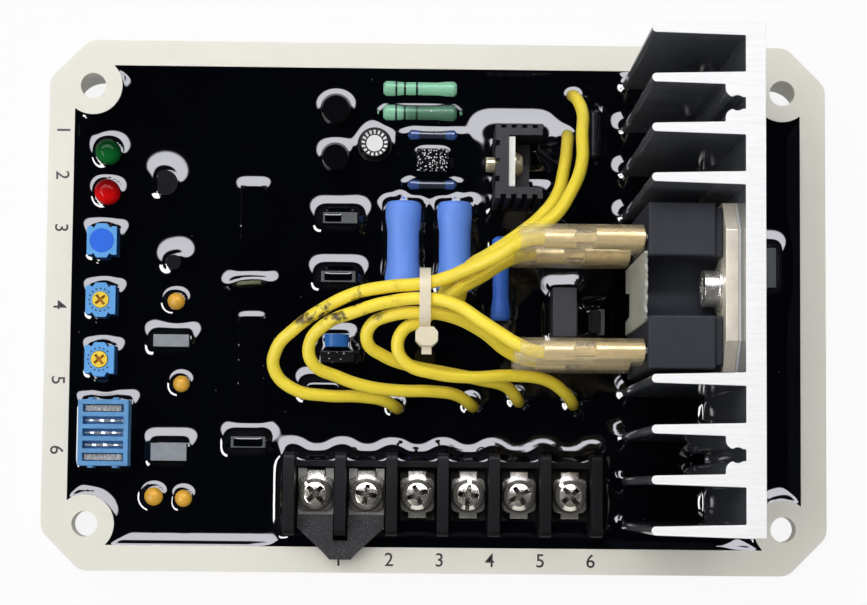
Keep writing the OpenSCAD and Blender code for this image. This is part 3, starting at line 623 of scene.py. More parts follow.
class REGULATOR_OT_leads(Step, bpy.types.Operator):
    """Runs the six yellow leads along their routes"""

    bl_idname = "regulator.leads"
    bl_label = "Leads"

    def soiled(self, tree):
        """Yellow, with painted shade darkening it towards the resin, and stained on the outer loops."""
        c = colours()
        stain = spread_map(tree, noise(tree, object_place(tree), 190.0, 4.0, 0.65), 0.53, 0.63)
        left = spread_map(tree, object_axis(tree, 0), -5 * MM, -12 * MM)
        left = sums(tree, "MULTIPLY", left, spread_map(tree, object_axis(tree, 1), -6 * MM, -4 * MM))
        low = spread_map(tree, object_axis(tree, 2), RESIN_Z + 7 * MM, RESIN_Z + 1 * MM)
        # Painted shade: the vinyl darkens towards the resin
        shaded_low = blend_colour(tree, sums(tree, "MULTIPLY", low, 0.55), c.lead, c.smudge)
        return blend_colour(tree, sums(tree, "MULTIPLY", stain, left), shaded_low, tint(70, 52, 12))

    def execute(self, context):
        vinyl = grained(
            "Yellow vinyl", self.soiled, 0.46, 0.3, variation=0.04, spread=0.16, patch=120.0, grain=3000.0,
            depth=0.01 * MM,
        )
        thick = sizes().lead_diameter
        for name, route in ROUTES.items():
            points = [Vector((x * MM, y * MM, RESIN_Z + z * MM)) for x, y, z in route]
            curve = bpy.data.curves.new(name + "_vinyl", "CURVE")
            curve.dimensions = "3D"
            curve.resolution_u = 8
            curve.bevel_depth = thick / 2
            curve.bevel_resolution = 5
            curve.use_fill_caps = True
            line = curve.splines.new("BEZIER")
            line.bezier_points.add(len(points) - 1)
            for knot, point in zip(line.bezier_points, points):
                knot.co = point
                knot.handle_left_type = knot.handle_right_type = "AUTO"
            piece = put(name + "_vinyl", curve, vinyl, name)
            piece.visible_glossy = False
        return {"FINISHED"}


# Resin


class Wetting:
    """How the resin climbs a part: its height on the wall and the length over which it falls off, in millimetres.

    A broad one falls off to nothing at that length; others fall by the same share over each such length. The ease
    is how far the resin rounds off the part's outline.
    """

    def __init__(self, climb, fall, broad=False, ease=8):
        self.climb = climb * MM
        self.ease = ease
        self.fall = fall * MM
        self.broad = broad
        self.cut = self.fall if broad else 4.2 * self.fall

    def at(self, away):
        if self.broad:
            return self.climb * (1 - away / self.cut) ** 2
        tail = math.exp(-self.cut / self.fall)
        return self.climb * (math.exp(-away / self.fall) - tail) / (1 - tail)


WETTED = {
    "tray": Wetting(1.45, 1.6, ease=0),
    "heat_sink": Wetting(1.6, 1.5),
    "terminal_body": Wetting(2.4, 1.45, ease=28),
    **{f"trimmer_{number}_body": Wetting(1.45, 1.45) for number in (1, 2, 3)},
    "selector_block": Wetting(1.55, 1.45),
    "lamp_green": Wetting(1.25, 1.3),
    "lamp_red": Wetting(1.2, 1.3),
    "bead_capacitors": Wetting(1.2, 1.0),
    "grey_capacitors": Wetting(1.75, 1.7),
    "box_capacitors": Wetting(2.1, 1.55),
    "electrolytics": Wetting(0.75, 1.3),
    "can_capacitor": Wetting(0.65, 1.0),
    "small_transistors": Wetting(1.45, 2.2),
    "coated_chips": Wetting(0.52, 2.4, broad=True, ease=14),
    "disc_capacitor": Wetting(1.15, 1.6),
    "blue_capacitor": Wetting(1.2, 1.4),
    "coated_box": Wetting(0.8, 2.0, broad=True),
    "green_resistors": Wetting(0.26, 1.2, broad=True),
    "small_resistors": Wetting(0.34, 1.4, broad=True),
    "power_resistors": Wetting(0.95, 2.2, broad=True),
    "slim_resistor": Wetting(0.95, 1.4),
    "clip_sink": Wetting(2.5, 7.4, broad=True),
    "tall_capacitor": Wetting(1.6, 1.8),
    "coated_diode": Wetting(0.3, 1.4, broad=True),
    **{f"lead_{number}": Wetting(1.1, 1.0) for number in (1, 2, 3, 4)},
    "lead_5": Wetting(0.9, 1.3),
    "lead_6": Wetting(0.4, 0.9),
}


class REGULATOR_OT_resin(Step, bpy.types.Operator):
    """Casts the glossy resin with its climb round every part"""

    bl_idname = "regulator.resin"
    bl_label = "Resin"

    def dusted(self, tree):
        mask = use_group(tree, speck_group, Scale=420.0, Size=0.05, Share=0.12)[0]
        return blend_colour(tree, sums(tree, "MULTIPLY", mask, 0.35), colours().resin, tint(120, 120, 124))

    def distances(self, source, xs, ys, reach):
        """How far each point at the resin's level lies from a part, less than nothing inside it."""
        bm = bmesh.new()
        bm.from_mesh(frame["nodes"][source].data)
        solid = BVHTree.FromBMesh(bm)
        bm.free()
        low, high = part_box(source)
        far = Vector((reach, reach, 0))
        low, high = low - far, high + far
        made = {}
        for j, y in enumerate(ys):
            if not low.y < y < high.y:
                continue
            for i, x in enumerate(xs):
                if low.x < x < high.x:
                    point = Vector((x, y, RESIN_Z - 0.01 * MM))
                    spot, normal, _, away = solid.find_nearest(point, reach)
                    if spot is not None:
                        made[i, j] = -away if (point - spot).dot(normal) < -0.3 * away else away
        return made

    def eased(self, field, passes):
        """A field of distances with its corners rounded off by so many passes."""
        for _ in range(passes):
            smoothed = {}
            for (i, j), away in field.items():
                near = [field[k] for k in ((i - 1, j), (i + 1, j), (i, j - 1), (i, j + 1)) if k in field]
                smoothed[i, j] = (away + sum(near) / len(near)) / 2 if near else away
            field = smoothed
        return field

    def heights(self, xs, ys):
        """Climb of the resin at every point, and how deep each point lies in the tray's own wall."""
        total = {}
        buried = {}
        for source, wet in WETTED.items():
            field = self.distances(source, xs, ys, max(wet.cut, 4 * MM))
            if source == "tray":
                buried = {place: -away for place, away in field.items() if away < 0.5 * MM}
            for place, away in self.eased(field, wet.ease).items():
                if away < wet.cut:
                    total[place] = total.get(place, 0.0) + wet.at(max(0.0, away))
        for place in buried:
            total[place] = min(total.get(place, 0.0), RIM_Z - RESIN_Z - 0.12 * MM)
        return total, buried

    def execute(self, context):
        low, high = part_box("potting_resin")
        margin = 0.8 * MM
        step = sizes().skin_step
        across = int((high.x - low.x + 2 * margin) / step)
        along = int((high.y - low.y + 2 * margin) / step)
        xs = [low.x - margin + step * i for i in range(across + 1)]
        ys = [low.y - margin + step * j for j in range(along + 1)]
        climb, buried = self.heights(xs, ys)
        bm = bmesh.new()
        verts = {}
        for j, y in enumerate(ys):
            for i, x in enumerate(xs):
                in_pillar = math.hypot(abs(x) - HOLE_X, abs(y) - HOLE_Y) < 4.2 * MM
                if not in_pillar and buried.get((i, j), 0.0) <= 0.9 * MM:
                    verts[i, j] = bm.verts.new((x, y, RESIN_Z + climb.get((i, j), 0.0)))
        sheet(bm, verts)
        bmesh.ops.delete(bm, geom=[v for v in bm.verts if not v.link_faces], context="VERTS")
        bmesh.ops.smooth_vert(bm, verts=bm.verts, factor=0.5, use_axis_z=True)
        close_under(bm, low.z + 0.05 * MM)
        gloss = grained(
            "Cast resin", self.dusted, 0.05, variation=0.25, spread=0.05, patch=40.0, grain=260.0, depth=0.004 * MM,
            IOR=1.52,
        )
        put("resin_skin", bm, gloss, "potting_resin", "resin", smooth=60.0)
        return {"FINISHED"}


# Tray with its digits

# Places of the digits at the left rim along Y, in millimetres
CONTROL_DIGITS = (30.1, 22.2, 13.0, -0.4, -13.4, -25.4)


class REGULATOR_OT_tray(Step, bpy.types.Operator):
    """Finishes the cream tray and prints plain digits on its rim"""

    bl_idname = "regulator.tray"
    bl_label = "Tray"

    def execute(self, context):
        c = colours()
        shell = grained(
            "Cream plastic", speckled(c.tray, tint(196, 192, 178), 150.0, 0.035, 0.2), 0.42, variation=0.025,
            spread=0.14, patch=35.0, grain=1800.0, depth=0.012 * MM,
        )
        self.relieve(finished("tray", shell, sizes().tray_edge, 3))
        ink = grained("Printed ink", c.print, 0.5, variation=0.1)
        low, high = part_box("terminal_body")
        pitch = (high.x - low.x) / 6.22
        for number, y in enumerate(CONTROL_DIGITS, 1):
            self.digit(f"control_digit_{number}", number, TRAY_LOW.x + 2.4 * MM, y * MM, -math.pi / 2, ink)
        for number in range(1, 7):
            x = (low.x + high.x) / 2 + (number - 3.5) * pitch + 3.9 * MM
            self.digit(f"terminal_digit_{number}", number, x, TRAY_LOW.y + 2.2 * MM, 0.0, ink)
        return {"FINISHED"}

    def relieve(self, made):
        """Opens the mounting holes towards the underside, as moulded bosses are."""
        for vert in made.data.vertices:
            x, y = math.copysign(HOLE_X, vert.co.x), math.copysign(HOLE_Y, vert.co.y)
            out = Vector((vert.co.x - x, vert.co.y - y))
            if vert.co.z < 1 * MM and 3 * MM < out.length < 4 * MM:
                out *= 4.7 * MM / out.length
                vert.co.x, vert.co.y = x + math.copysign(1.4 * MM, x) + out.x, y + out.y

    def digit(self, name, number, x, y, turn, ink):
        font = bpy.data.curves.new(name, "FONT")
        font.body = str(number)
        font.align_x = font.align_y = "CENTER"
        font.size = sizes().digit_height * 1.36
        font.extrude = 0.012 * MM
        font.offset = 0.02 * MM
        made = placed(name, font)
        made.location = (x, y, RIM_Z + 0.012 * MM)
        made.rotation_euler = (0, 0, turn)
        bpy.context.view_layer.update()
        mesh = bpy.data.meshes.new_from_object(made.evaluated_get(bpy.context.evaluated_depsgraph_get()))
        mesh.transform(made.matrix_world)
        bpy.data.objects.remove(made)
        put(name, mesh, ink)


# Heat sink and power module


class REGULATOR_OT_heat_sink(Step, bpy.types.Operator):
    """Finishes the black fins with their bright sawn ends"""

    bl_idname = "regulator.heat_sink"
    bl_label = "Heat sink"

    def execute(self, context):
        c = colours()
        made, tree, shader = blank_material("Anodised with sawn ends")
        sawn, sawn_rough, _ = use_group(
            tree, drawn_group, Color=c.sawn, Stretch=(160.0, 2600.0, 160.0), Variation=0.06, Roughness=0.5, Spread=0.2
        )
        black, _, height = use_group(
            tree, grain_group, Color=c.anodise, Variation=0.18, Patch_Scale=60.0, Grain_Scale=2200.0
        )
        high = sums(tree, "GREATER_THAN", object_axis(tree, 2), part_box("heat_sink")[1].z - 0.3 * MM)
        ends = sums(tree, "MULTIPLY", high, use_group(tree, upward_group, Level=0.6)[0])
        # The sawn ends are rough; the black between them is sealed and smooth
        rough = sums(tree, "MULTIPLY", ends, sawn_rough)
        dress(tree, shader, blend_colour(tree, ends, black, sawn), rough, height, 0.012 * MM)
        finished("heat_sink", made, 0.14 * MM)
        paint("heat_sink_screws", drawn("Screw steel", tint(170, 170, 168), 0.35, (900.0, 900.0, 900.0)))
        return {"FINISHED"}


class REGULATOR_OT_module(Step, bpy.types.Operator):
    """Finishes the power module, its plate, screws and tabs"""

    bl_idname = "regulator.module"
    bl_label = "Power module"

    def execute(self, context):
        case = grained("Module plastic", tint(38, 40, 46), 0.55, 0.2, variation=0.22, grain=2400.0)
        finished("module_body", case, 0.35 * MM, 3)
        face = speckled(tint(178, 180, 172), tint(70, 70, 68), 330.0, 0.16, 0.14)
        self.label(grained("Module face", face, 0.5, variation=0.1))
        plate = grained("Module plate", tint(224, 216, 198), 0.42, variation=0.12, patch=220.0, Metallic=0.3)
        finished("module_base", plate, 0.15 * MM)
        paint("thermal_pad", grained("Heat paste", tint(206, 206, 204), 0.6))
        nickel = drawn("Module nickel", colours().nickel, 0.26, (700.0, 700.0, 700.0), metallic=0.8)
        finished("module_screws", nickel, 0.35 * MM, 3)
        paint("module_tabs", nickel)
        return {"FINISHED"}

    def label(self, material):
        """A pale torn label over the module's end, notched at its lower corner."""
        low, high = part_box("module_front")
        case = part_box("module_body")
        bottom, top = case[0].z + 1 * MM, case[1].z - 0.7 * MM
        outline = [(low.y, bottom), (low.y + 2.2 * MM, bottom), (low.y + 2.6 * MM, bottom + 5 * MM)]
        outline += [(low.y + 6.4 * MM, bottom + 5.4 * MM), (low.y + 7 * MM, bottom + 0.4 * MM), (high.y, bottom)]
        torn = random.Random(7)
        steps = 22
        for k in range(steps + 1):
            y = high.y + (low.y - high.y) * k / steps
            outline.append((y, top - torn.uniform(0.0, 1.6) * MM))
        bm = bmesh.new()
        face = bm.faces.new([bm.verts.new((low.x, y, z)) for y, z in outline])
        for item in bmesh.ops.extrude_face_region(bm, geom=[face])["geom"]:
            if isinstance(item, bmesh.types.BMVert):
                item.co.x = high.x + 0.05 * MM
        put("module_label", bm, material, "module_front")


class REGULATOR_OT_receptacles(Step, bpy.types.Operator):
    """Finishes the brass receptacles and their clear sleeves"""

    bl_idname = "regulator.receptacles"
    bl_label = "Receptacles"

    def execute(self, context):
        brass = drawn("Brass", colours().brass, 0.3, (60.0, 1600.0, 1600.0), variation=0.2, metallic=0.4)
        finished("receptacles", brass, 0.2 * MM)
        clear, tree, shader = blank_material("Clear sleeve")
        skin = use_group(
            tree, grain_group, Color=tint(226, 210, 174), Variation=0.06, Patch_Scale=160.0, Grain_Scale=420.0,
            Roughness=0.2, Spread=0.2,
        )
        veil = spread_map(tree, skin["Height"], 0.25, 0.75, 0.1, 0.3)
        dress(tree, shader, *skin, 0.12 * MM, Specular_IOR_Level=0.35, Alpha=veil)
        finished("receptacle_sleeves", clear, 0.12 * MM)
        return {"FINISHED"}


class REGULATOR_OT_cable_tie(Step, bpy.types.Operator):
    """Finishes the nylon tie round the bundle"""

    bl_idname = "regulator.cable_tie"
    bl_label = "Cable tie"

    def execute(self, context):
        nylon = grained(
            "Natural nylon", colours().nylon, 0.42, 0.3, variation=0.05, Subsurface_Weight=0.2, Subsurface_Scale=0.001
        )
        finished("cable_tie", nylon, 0.25 * MM, 3)
        return {"FINISHED"}


# Terminal strip


class REGULATOR_OT_terminals(Step, bpy.types.Operator):
    """Finishes the barrier strip, its contacts, clamps and screws"""

    bl_idname = "regulator.terminals"
    bl_label = "Terminal strip"

    def execute(self, context):
        body = grained("Strip plastic", colours().black, 0.5, 0.12, variation=0.15, grain=2600.0)
        finished("terminal_body", body, 0.35 * MM, 3)
        # Painted shade: the contacts under the clamps are a darkened nickel
        dark = drawn("Shaded nickel", tint(84, 81, 76), 0.3, (500.0, 500.0, 500.0))
        finished("terminal_contacts", dark, 0.12 * MM)
        nickel = self.plated("Terminal nickel", tint(216, 212, 204), 0.25, 0.78)
        finished("terminal_clamps", nickel, 0.3 * MM, 3)
        finished("terminal_screws", self.plated("Screw nickel", tint(244, 238, 226), 0.2, 0.8), 0.24 * MM, 3)
        return {"FINISHED"}

    def plated(self, name, base, rough, metallic):
        """Plated metal with a domed gloss, and painted shade that darkens its recesses."""
        made, tree, shader = blank_material(name)
        color, gloss, grain = use_group(
            tree, drawn_group, Color=base, Stretch=(420.0, 420.0, 420.0), Variation=0.3, Roughness=rough, Spread=0.2
        )
        clear, crown = use_group(tree, way_group)
        # Painted shade: dark brown where ambient occlusion finds the metal enclosed
        color = blend_colour(tree, clear, tint(40, 36, 30), color)
        height = sums(tree, "ADD", crown, sums(tree, "MULTIPLY", grain, 0.04))
        dress(tree, shader, color, gloss, height, 0.6 * MM, Metallic=metallic)
        return made


class REGULATOR_OT_link(Step, bpy.types.Operator):
    """Finishes the link over the first two ways"""

    bl_idname = "regulator.link"
    bl_label = "Link"

    def execute(self, context):
        link = grained(
            "Link plastic", speckled(tint(14, 14, 16), tint(58, 58, 58), 3400.0, 0.4, 0.6), 0.6, 0.3, variation=0.35,
            grain=1600.0, depth=0.05 * MM,
        )
        finished("link_cover", link, 0.2 * MM)
        finished("link_fork", drawn("Link tin", colours().nickel, 0.25, (300.0, 900.0, 900.0), metallic=0.6), 0.1 * MM)
        return {"FINISHED"}


# Controls


def middle(source):
    """The middle of a part in plan."""
    low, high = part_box(source)
    return Vector(((low.x + high.x) / 2, (low.y + high.y) / 2, 0))


class REGULATOR_OT_trimmers(Step, bpy.types.Operator):
    """Finishes the trimmers and prints their ring of ticks"""

    bl_idname = "regulator.trimmers"
    bl_label = "Trimmers"

    def ticks(self, number, ink):
        """Small marks round the rotor on the trimmer's top."""
        mid = middle(f"trimmer_{number}_rotor")
        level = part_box(f"trimmer_{number}_body")[1].z - 0.004 * MM
        bm = bmesh.new()
        for k in range(13):
            angle = math.radians(45 + 22.5 * k)
            made = block(bm, (-0.13 * MM, -0.17 * MM, 0), (0.13 * MM, 0.17 * MM, 0.02 * MM))
            at = mid + Vector((1.93 * MM * math.cos(angle), 1.93 * MM * math.sin(angle), level))
            turn = Matrix.Rotation(angle, 4, "Z")
            bmesh.ops.transform(bm, matrix=Matrix.Translation(at) @ turn, verts=made)
        put(f"trimmer_{number}_ticks", bm, ink)

    def slotted(self, tree):
        """Yellow, with painted shade in the slots."""
        low = sums(tree, "LESS_THAN", object_axis(tree, 2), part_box("trimmer_2_rotor")[1].z - 0.15 * MM)
        # Painted shade: darker yellow below the rotor's top, in its slots
        return blend_colour(tree, low, colours().rotor, tint(176, 112, 14))

    def execute(self, context):
        c = colours()
        # Painted shade: the trimmers' sides are a darker blue than their tops
        sided = topped(c.trimmer, tint(24, 66, 120), 0.3)
        blue = grained("Trimmer blue", sided, 0.4, 0.3, variation=0.05, grain=3000.0)
        made = [finished(f"trimmer_{number}_body", blue, sizes().part_edge) for number in (1, 2, 3)]
        lacquer = grained("Blue lacquer", c.seal, 0.4, 0.25, variation=0.05)
        made.append(finished("trimmer_1_seal", lacquer, 0.1 * MM))
        yellow = grained("Rotor yellow", self.slotted, 0.4, 0.3, variation=0.05)
        made.append(finished("trimmer_2_rotor", yellow, 0.05 * MM, body="stability_rotor"))
        made.append(finished("trimmer_3_rotor", yellow, 0.05 * MM, body="voltage_rotor"))
        for piece in made:
            piece.visible_glossy = False
        ink = grained("Trimmer ink", tint(16, 34, 66), 0.5)
        for number in (2, 3):
            self.ticks(number, ink)
        return {"FINISHED"}


class REGULATOR_OT_selector(Step, bpy.types.Operator):
    """Builds the selector's slotted block and the contact strips in its slots"""

    bl_idname = "regulator.selector"
    bl_label = "Selector"

    def execute(self, context):
        low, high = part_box("selector_block")
        mid = middle("selector_block")
        lug = 0.35 * MM
        foot = low.z + 4 * MM
        half_x, half_y = (high.x - low.x) / 2, (high.y - low.y) / 2 - lug
        slots = [mid.y + 2.08 * MM * k for k in range(-2, 3)]
        xs = [mid.x - half_x, mid.x - 3.45 * MM, mid.x + 3.45 * MM, mid.x + half_x]
        ys = [mid.y - half_y]
        for at in slots:
            ys += [at - 0.65 * MM, at + 0.65 * MM]
        ys.append(mid.y + half_y)
        bm = bmesh.new()
        self.waffle(bm, xs, ys, high.z, foot, 2.4 * MM)
        for x in (mid.x - 2.1 * MM, mid.x + 2.1 * MM):
            for side in (-1, 1):
                near, far = sorted((mid.y + side * half_y, mid.y + side * half_y + side * lug))
                block(bm, (x - 0.5 * MM, near, foot), (x + 0.5 * MM, far, high.z - 0.05 * MM))
        blue = grained("Selector blue", tint(92, 148, 200), 0.42, 0.3, variation=0.1, patch=300.0)
        rounded(put("selector_case", bm, blue, "selector_block"), 0.12 * MM, 2, 30.0)
        self.strips(mid.x, slots, high.z)
        return {"FINISHED"}

    def waffle(self, bm, xs, ys, top, bottom, deep):
        """A block whose middle column has a pocket in every other row."""
        rows, columns = len(ys) - 1, len(xs) - 1
        grid = {(i, j): bm.verts.new((x, y, top)) for i, x in enumerate(xs) for j, y in enumerate(ys)}
        for j in range(rows):
            for i in range(columns):
                ring = [grid[i, j], grid[i + 1, j], grid[i + 1, j + 1], grid[i, j + 1]]
                if i == 1 and j % 2 == 1:
                    under = [bm.verts.new(v.co - Vector((0, 0, deep))) for v in ring]
                    bm.faces.new(under)
                    for k in range(4):
                        bm.faces.new((ring[k], ring[(k + 1) % 4], under[(k + 1) % 4], under[k]))
                else:
                    bm.faces.new(ring)
        rim = [grid[i, 0] for i in range(columns)] + [grid[columns, j] for j in range(rows)]
        rim += [grid[i, rows] for i in range(columns, 0, -1)] + [grid[0, j] for j in range(rows, 0, -1)]
        foot = [bm.verts.new((v.co.x, v.co.y, bottom)) for v in rim]
        bm.faces.new(foot[::-1])
        for k in range(len(rim)):
            j = (k + 1) % len(rim)
            bm.faces.new((rim[k], rim[j], foot[j], foot[k]))

    def strips(self, x, slots, top):
        """Bright folded strips in the outer slots and thin ones in the others."""
        bm = bmesh.new()
        steps = 24
        corners = ((-1, -1), (1, -1), (1, 1), (-1, 1))
        for k, y in enumerate(slots):
            outer = k in (0, 4)
            wide, deep, folds, swing = (0.5, 0.55, 2.1, 0.3) if outer else (0.2, 1.0, 0.9, 0.16)
            rings = []
            for n in range(steps + 1):
                along = -3.2 * MM + 6.4 * MM * n / steps
                level = top - deep * MM + math.sin(n * folds + k) * swing * MM
                pinch = 1.0 if outer else 0.55 + 0.45 * math.sin(math.pi * n / steps) ** 2
                half = wide * MM * pinch
                rings.append([bm.verts.new((x + along, y + a * half, level + b * 0.12 * MM)) for a, b in corners])
            for a, b in zip(rings, rings[1:]):
                for n in range(4):
                    bm.faces.new((a[n], a[(n + 1) % 4], b[(n + 1) % 4], b[n]))
            bm.faces.new(rings[0][::-1])
            bm.faces.new(rings[-1])
        tin = drawn("Tinned contacts", tint(206, 208, 208), 0.25, (300.0, 900.0, 900.0), metallic=0.55)
        put("selector_strips", bm, tin, "selector_contacts")


class REGULATOR_OT_lamps(Step, bpy.types.Operator):
    """Turns the two lamps with their domes"""

    bl_idname = "regulator.lamps"
    bl_label = "Lamps"

    def execute(self, context):
        for name, base in (("green", colours().lamp_green), ("red", colours().lamp_red)):
            low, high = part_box(f"lamp_{name}")
            radius = (high.x - low.x) / 2
            mid = middle(f"lamp_{name}")
            flat = 0.92
            waist = high.z - radius * flat
            profile = [(radius, RESIN_Z - 3 * MM), (radius, waist)]
            for k in range(13):
                angle = math.radians(8 + 76 * k / 12)
                profile.append((radius * math.cos(angle), waist + radius * math.sin(angle) * flat))
            bm = bmesh.new()
            lathe(bm, profile, mid)

            def deep(tree):
                """Painted light: dark at the far side and bright at the near one."""
                glow = spread_map(tree, object_axis(tree, 1), mid.y + radius * 0.7, mid.y - radius * 0.9)
                return blend_colour(tree, glow, [part * 0.35 for part in base], [part * 1.5 for part in base])

            lens = grained(f"Lamp {name}", deep, 0.12, 0.06, variation=0.1, spread=0.05)
            put(f"lamp_{name}_lens", bm, lens, f"lamp_{name}", smooth=50.0)
        return {"FINISHED"}


# Board parts

# Puddles on the box-shaped capacitors: middle and half size in millimetres
FILMS = ((-18.0, 15.1, 1.5, 0.75), (-17.0, 4.9, 2.5, 0.75), (-32.1, -23.8, 2.6, 0.8))


class REGULATOR_OT_capacitors(Step, bpy.types.Operator):
    """Finishes the capacitors and the resin left on the box-shaped ones"""

    bl_idname = "regulator.capacitors"
    bl_label = "Capacitors"

    def execute(self, context):
        c = colours()
        edge = sizes().part_edge
        finished("bead_capacitors", grained("Bead orange", c.bead, 0.36, 0.25, variation=0.12, patch=300.0), 0.02 * MM)
        # Painted shade: the grey cases' sides are painted near black
        grey = grained("Grey case", topped(c.grey, tint(16, 16, 18)), 0.5, 0.25, variation=0.1, patch=700.0)
        finished("grey_capacitors", grey, edge)
        # Painted shade: the box cases' sides are darker than their grey tops
        black = grained("Black case", topped(tint(84, 86, 88), tint(14, 14, 16)), 0.5, 0.2)
        finished("box_capacitors", black, edge)
        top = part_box("box_capacitors")[1].z
        for number, film in enumerate(FILMS, 1):
            self.film(f"resin_film_{number}", *[part * MM for part in film], top)
        finished("electrolytics", grained("Black sleeve", tint(9, 9, 11), 0.12, 0.3), 0.4 * MM, 3)
        finished("can_capacitor", grained("Crimped can", self.crimped, 0.4, 0.2), 0.2 * MM)
        # Painted shade: the disc's sides are darker than its olive top
        olive = grained("Disc olive", topped(tint(116, 118, 92), tint(24, 24, 18)), 0.4, 0.25)
        finished("disc_capacitor", olive, 0.05 * MM)
        finished("blue_capacitor", grained("Dipped blue", tint(44, 112, 196), 0.3, 0.3), 0.5 * MM, 3)
        # Painted shade: the tall case's sides are darker than its top
        tall = grained("Tall case", topped(tint(70, 72, 78), tint(40, 42, 46)), 0.5, 0.2)
        finished("tall_capacitor", tall, edge)
        return {"FINISHED"}

    def film(self, name, x, y, half_x, half_y, top):
        """A domed puddle of resin left on a part's top."""
        bm = bmesh.new()
        across, along = 20, 14
        verts = {}
        for j in range(along + 1):
            for i in range(across + 1):
                u, v = 2 * i / across - 1, 2 * j / along - 1
                rise = 0.16 * MM * (1 - u ** 6) * (1 - v ** 4)
                verts[i, j] = bm.verts.new((x + u * half_x, y + v * half_y, top - 0.03 * MM + rise))
        sheet(bm, verts)
        close_under(bm, top - 0.2 * MM)
        put(name, bm, bpy.data.materials["Cast resin"], slot="resin", smooth=60.0)

    def crimped(self, tree):
        """A dark sleeve with a bright crimped top."""
        mid = middle("can_capacitor")
        x = sums(tree, "SUBTRACT", object_axis(tree, 0), mid.x)
        y = sums(tree, "SUBTRACT", object_axis(tree, 1), mid.y)
        out = sums(tree, "SQRT", square_sum(tree, x, y))
        spoke = sums(tree, "SINE", sums(tree, "MULTIPLY", sums(tree, "ARCTAN2", y, x), 17.0))
        inside = sums(tree, "LESS_THAN", out, 2.25 * MM)
        ring = sums(tree, "MULTIPLY", sums(tree, "GREATER_THAN", spoke, -0.1), inside)
        bright = sums(tree, "MAXIMUM", sums(tree, "LESS_THAN", out, 1.45 * MM), ring)
        gap = sums(tree, "GREATER_THAN", sums(tree, "ABSOLUTE", sums(tree, "SUBTRACT", out, 1.55 * MM)), 0.12 * MM)
        return blend_colour(tree, sums(tree, "MULTIPLY", bright, gap), tint(12, 12, 14), tint(240, 240, 240))


class REGULATOR_OT_resistors(Step, bpy.types.Operator):
    """Finishes the resistors with their bands"""

    bl_idname = "regulator.resistors"
    bl_label = "Resistors"

    def green(self, tree):
        """Banded green, drowned in resin at the lower right, with a broken painted highlight along its ridge."""
        rings = [(-7.35 * MM, 0.35 * MM), (-5.85 * MM, 0.4 * MM), (-3.75 * MM, 0.4 * MM)]
        base = banded(colours().resistor_green, tint(14, 34, 26), rings)(tree)
        y = object_axis(tree, 1)
        lower = sums(tree, "LESS_THAN", y, 36.2 * MM)
        right = spread_map(tree, object_axis(tree, 0), -7.5 * MM, -4.5 * MM)
        drowned = sums(tree, "MULTIPLY", sums(tree, "MULTIPLY", lower, right), 0.72)
        # Painted highlight: a broken white line along the resistor's ridge
        painted_glint = use_group(tree, speck_group, Scale=1500.0, Size=0.3, Share=0.3)[0]
        ridge = sums(tree, "LESS_THAN", sums(tree, "ABSOLUTE", sums(tree, "SUBTRACT", y, 34.5 * MM)), 0.22 * MM)
        painted_highlight = sums(tree, "MULTIPLY", sums(tree, "MULTIPLY", painted_glint, ridge), right)
        coated = blend_colour(tree, drowned, base, tint(28, 58, 42))
        return blend_colour(tree, painted_highlight, coated, (0.9, 0.92, 0.9))

    def execute(self, context):
        finished("green_resistors", grained("Green enamel", self.green, 0.38, 0.3, variation=0.05), 0.1 * MM)
        small = banded(tint(52, 78, 132), tint(40, 46, 60), [(-0.95 * MM, 4.6 * MM)])
        finished("small_resistors", grained("Small enamel", small, 0.22, variation=0.1), 0.1 * MM)
        enamel = speckled(colours().resistor_blue, tint(62, 104, 196), 620.0, 0.1, 0.07)
        finished("power_resistors", grained("Blue enamel", enamel, 0.45, 0.25, variation=0.03), 0.3 * MM, 3)
        finished("slim_resistor", grained("Slim enamel", tint(62, 112, 214), 0.4, 0.25), 0.2 * MM, 3)
        return {"FINISHED"}


class REGULATOR_OT_chips(Step, bpy.types.Operator):
    """Finishes the chips, transistors and diode under the resin's skin, and the board"""

    bl_idname = "regulator.chips"
    bl_label = "Chips"

    def dusted(self, tree):
        """Sparse white specks on both chips, and dense ones on the square one."""
        sparse = use_group(tree, speck_group, Scale=1100.0, Size=0.16, Share=0.7)[0]
        dense = use_group(tree, speck_group, Scale=2900.0, Size=0.34, Share=0.7)[0]
        square = sums(tree, "GREATER_THAN", object_axis(tree, 0), -10 * MM)
        mask = sums(tree, "MAXIMUM", sparse, sums(tree, "MULTIPLY", dense, square))
        return blend_colour(tree, mask, tint(8, 8, 11), tint(226, 228, 232))

    def execute(self, context):
        edge = sizes().part_edge
        paint("circuit_board", grained("Board", tint(18, 70, 40), 0.4))
        # Painted light: the transistors' tops are lighter and their sides darker
        case = grained("Transistor case", topped(tint(24, 24, 27), tint(8, 8, 10)), 0.2, 0.3)
        finished("small_transistors", case, 0.25 * MM, 3)
        finished("coated_chips", grained("Coated chip", self.dusted, 0.2, 0.3), edge)
        box = speckled(tint(20, 20, 22), tint(190, 190, 190), 1500.0, 0.25, 0.4)
        finished("coated_box", grained("Coated box", box, 0.25, 0.3), edge)
        finished("coated_diode", grained("Coated diode", tint(16, 16, 20), 0.2, 0.4), 0.2 * MM)
        return {"FINISHED"}


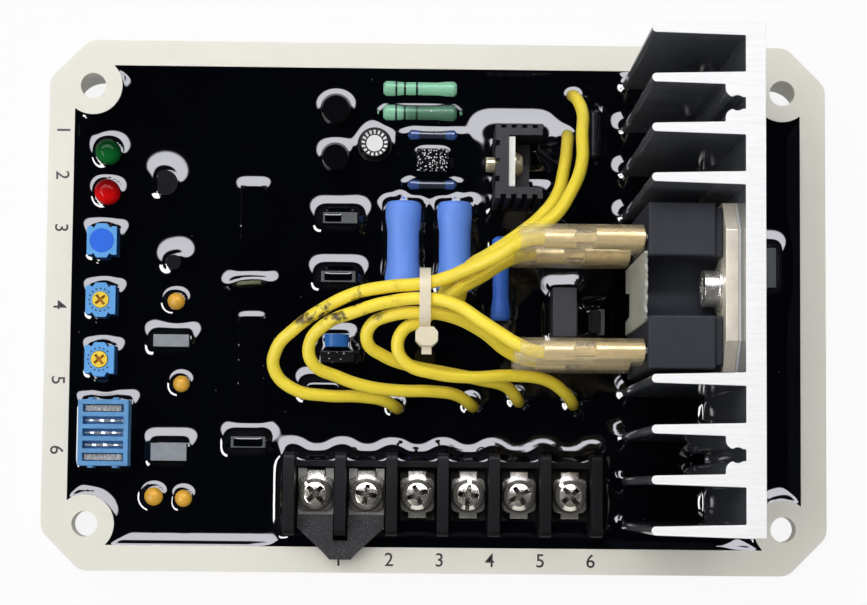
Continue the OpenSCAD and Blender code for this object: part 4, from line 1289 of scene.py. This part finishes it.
class REGULATOR_OT_clip_sink(Step, bpy.types.Operator):
    """Finishes the clip-on heat sink with its transistor and screw"""

    bl_idname = "regulator.clip_sink"
    bl_label = "Clip-on heat sink"

    def execute(self, context):
        # Painted shade: the clip's sides are darker than its top
        black = topped(tint(40, 40, 43), tint(18, 18, 20))
        grain = grained("Clip black", black, 0.6, 0.25, variation=0.3, grain=1500.0, depth=0.06 * MM)
        finished("clip_sink", grain, 0.12 * MM)
        finished("transistor", grained("Transistor tab", self.tab, 0.4, 0.3), 0.1 * MM)
        gold = drawn("Gold screw", tint(196, 186, 156), 0.3, (900.0, 900.0, 900.0), metallic=0.6)
        finished("transistor_screw", gold, 0.2 * MM)
        return {"FINISHED"}

    def tab(self, tree):
        """Bright metal for the tab, dark plastic for the body in front of it."""
        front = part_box("transistor")[0].x + 1.15 * MM
        plastic = sums(tree, "GREATER_THAN", object_axis(tree, 0), front)
        return blend_colour(tree, plastic, tint(240, 240, 238), tint(40, 40, 42))


OPERATORS = (
    REGULATOR_OT_stage,
    REGULATOR_OT_leads,
    REGULATOR_OT_resin,
    REGULATOR_OT_tray,
    REGULATOR_OT_heat_sink,
    REGULATOR_OT_module,
    REGULATOR_OT_receptacles,
    REGULATOR_OT_cable_tie,
    REGULATOR_OT_terminals,
    REGULATOR_OT_link,
    REGULATOR_OT_trimmers,
    REGULATOR_OT_selector,
    REGULATOR_OT_lamps,
    REGULATOR_OT_capacitors,
    REGULATOR_OT_resistors,
    REGULATOR_OT_chips,
    REGULATOR_OT_clip_sink,
)


class VIEW3D_PT_regulator(bpy.types.Panel):
    """Lists the dressing's sizes, colours and building steps"""

    bl_label = "Voltage regulator"
    bl_space_type = "VIEW_3D"
    bl_region_type = "UI"
    bl_category = "Regulator"

    def draw(self, context):
        for group_of in (context.scene.regulator_sizes, context.scene.regulator_colours):
            column = self.layout.column()
            for name in group_of.__annotations__:
                column.prop(group_of, name)
        for operator in OPERATORS:
            self.layout.operator(operator.bl_idname)


CLASSES = (RegulatorSizes, RegulatorColours, *OPERATORS, VIEW3D_PT_regulator)


def register():
    for cls in CLASSES:
        bpy.utils.register_class(cls)
    bpy.types.Scene.regulator_sizes = bpy.props.PointerProperty(type=RegulatorSizes)
    bpy.types.Scene.regulator_colours = bpy.props.PointerProperty(type=RegulatorColours)


def unregister():
    del bpy.types.Scene.regulator_colours
    del bpy.types.Scene.regulator_sizes
    for cls in reversed(CLASSES):
        bpy.utils.unregister_class(cls)


def main():
    register()
    for operator in OPERATORS:
        step = operator.bl_idname.split(".")[1]
        getattr(bpy.ops.regulator, step)()
    bpy.context.view_layer.update()


if __name__ == "__main__":
    main()
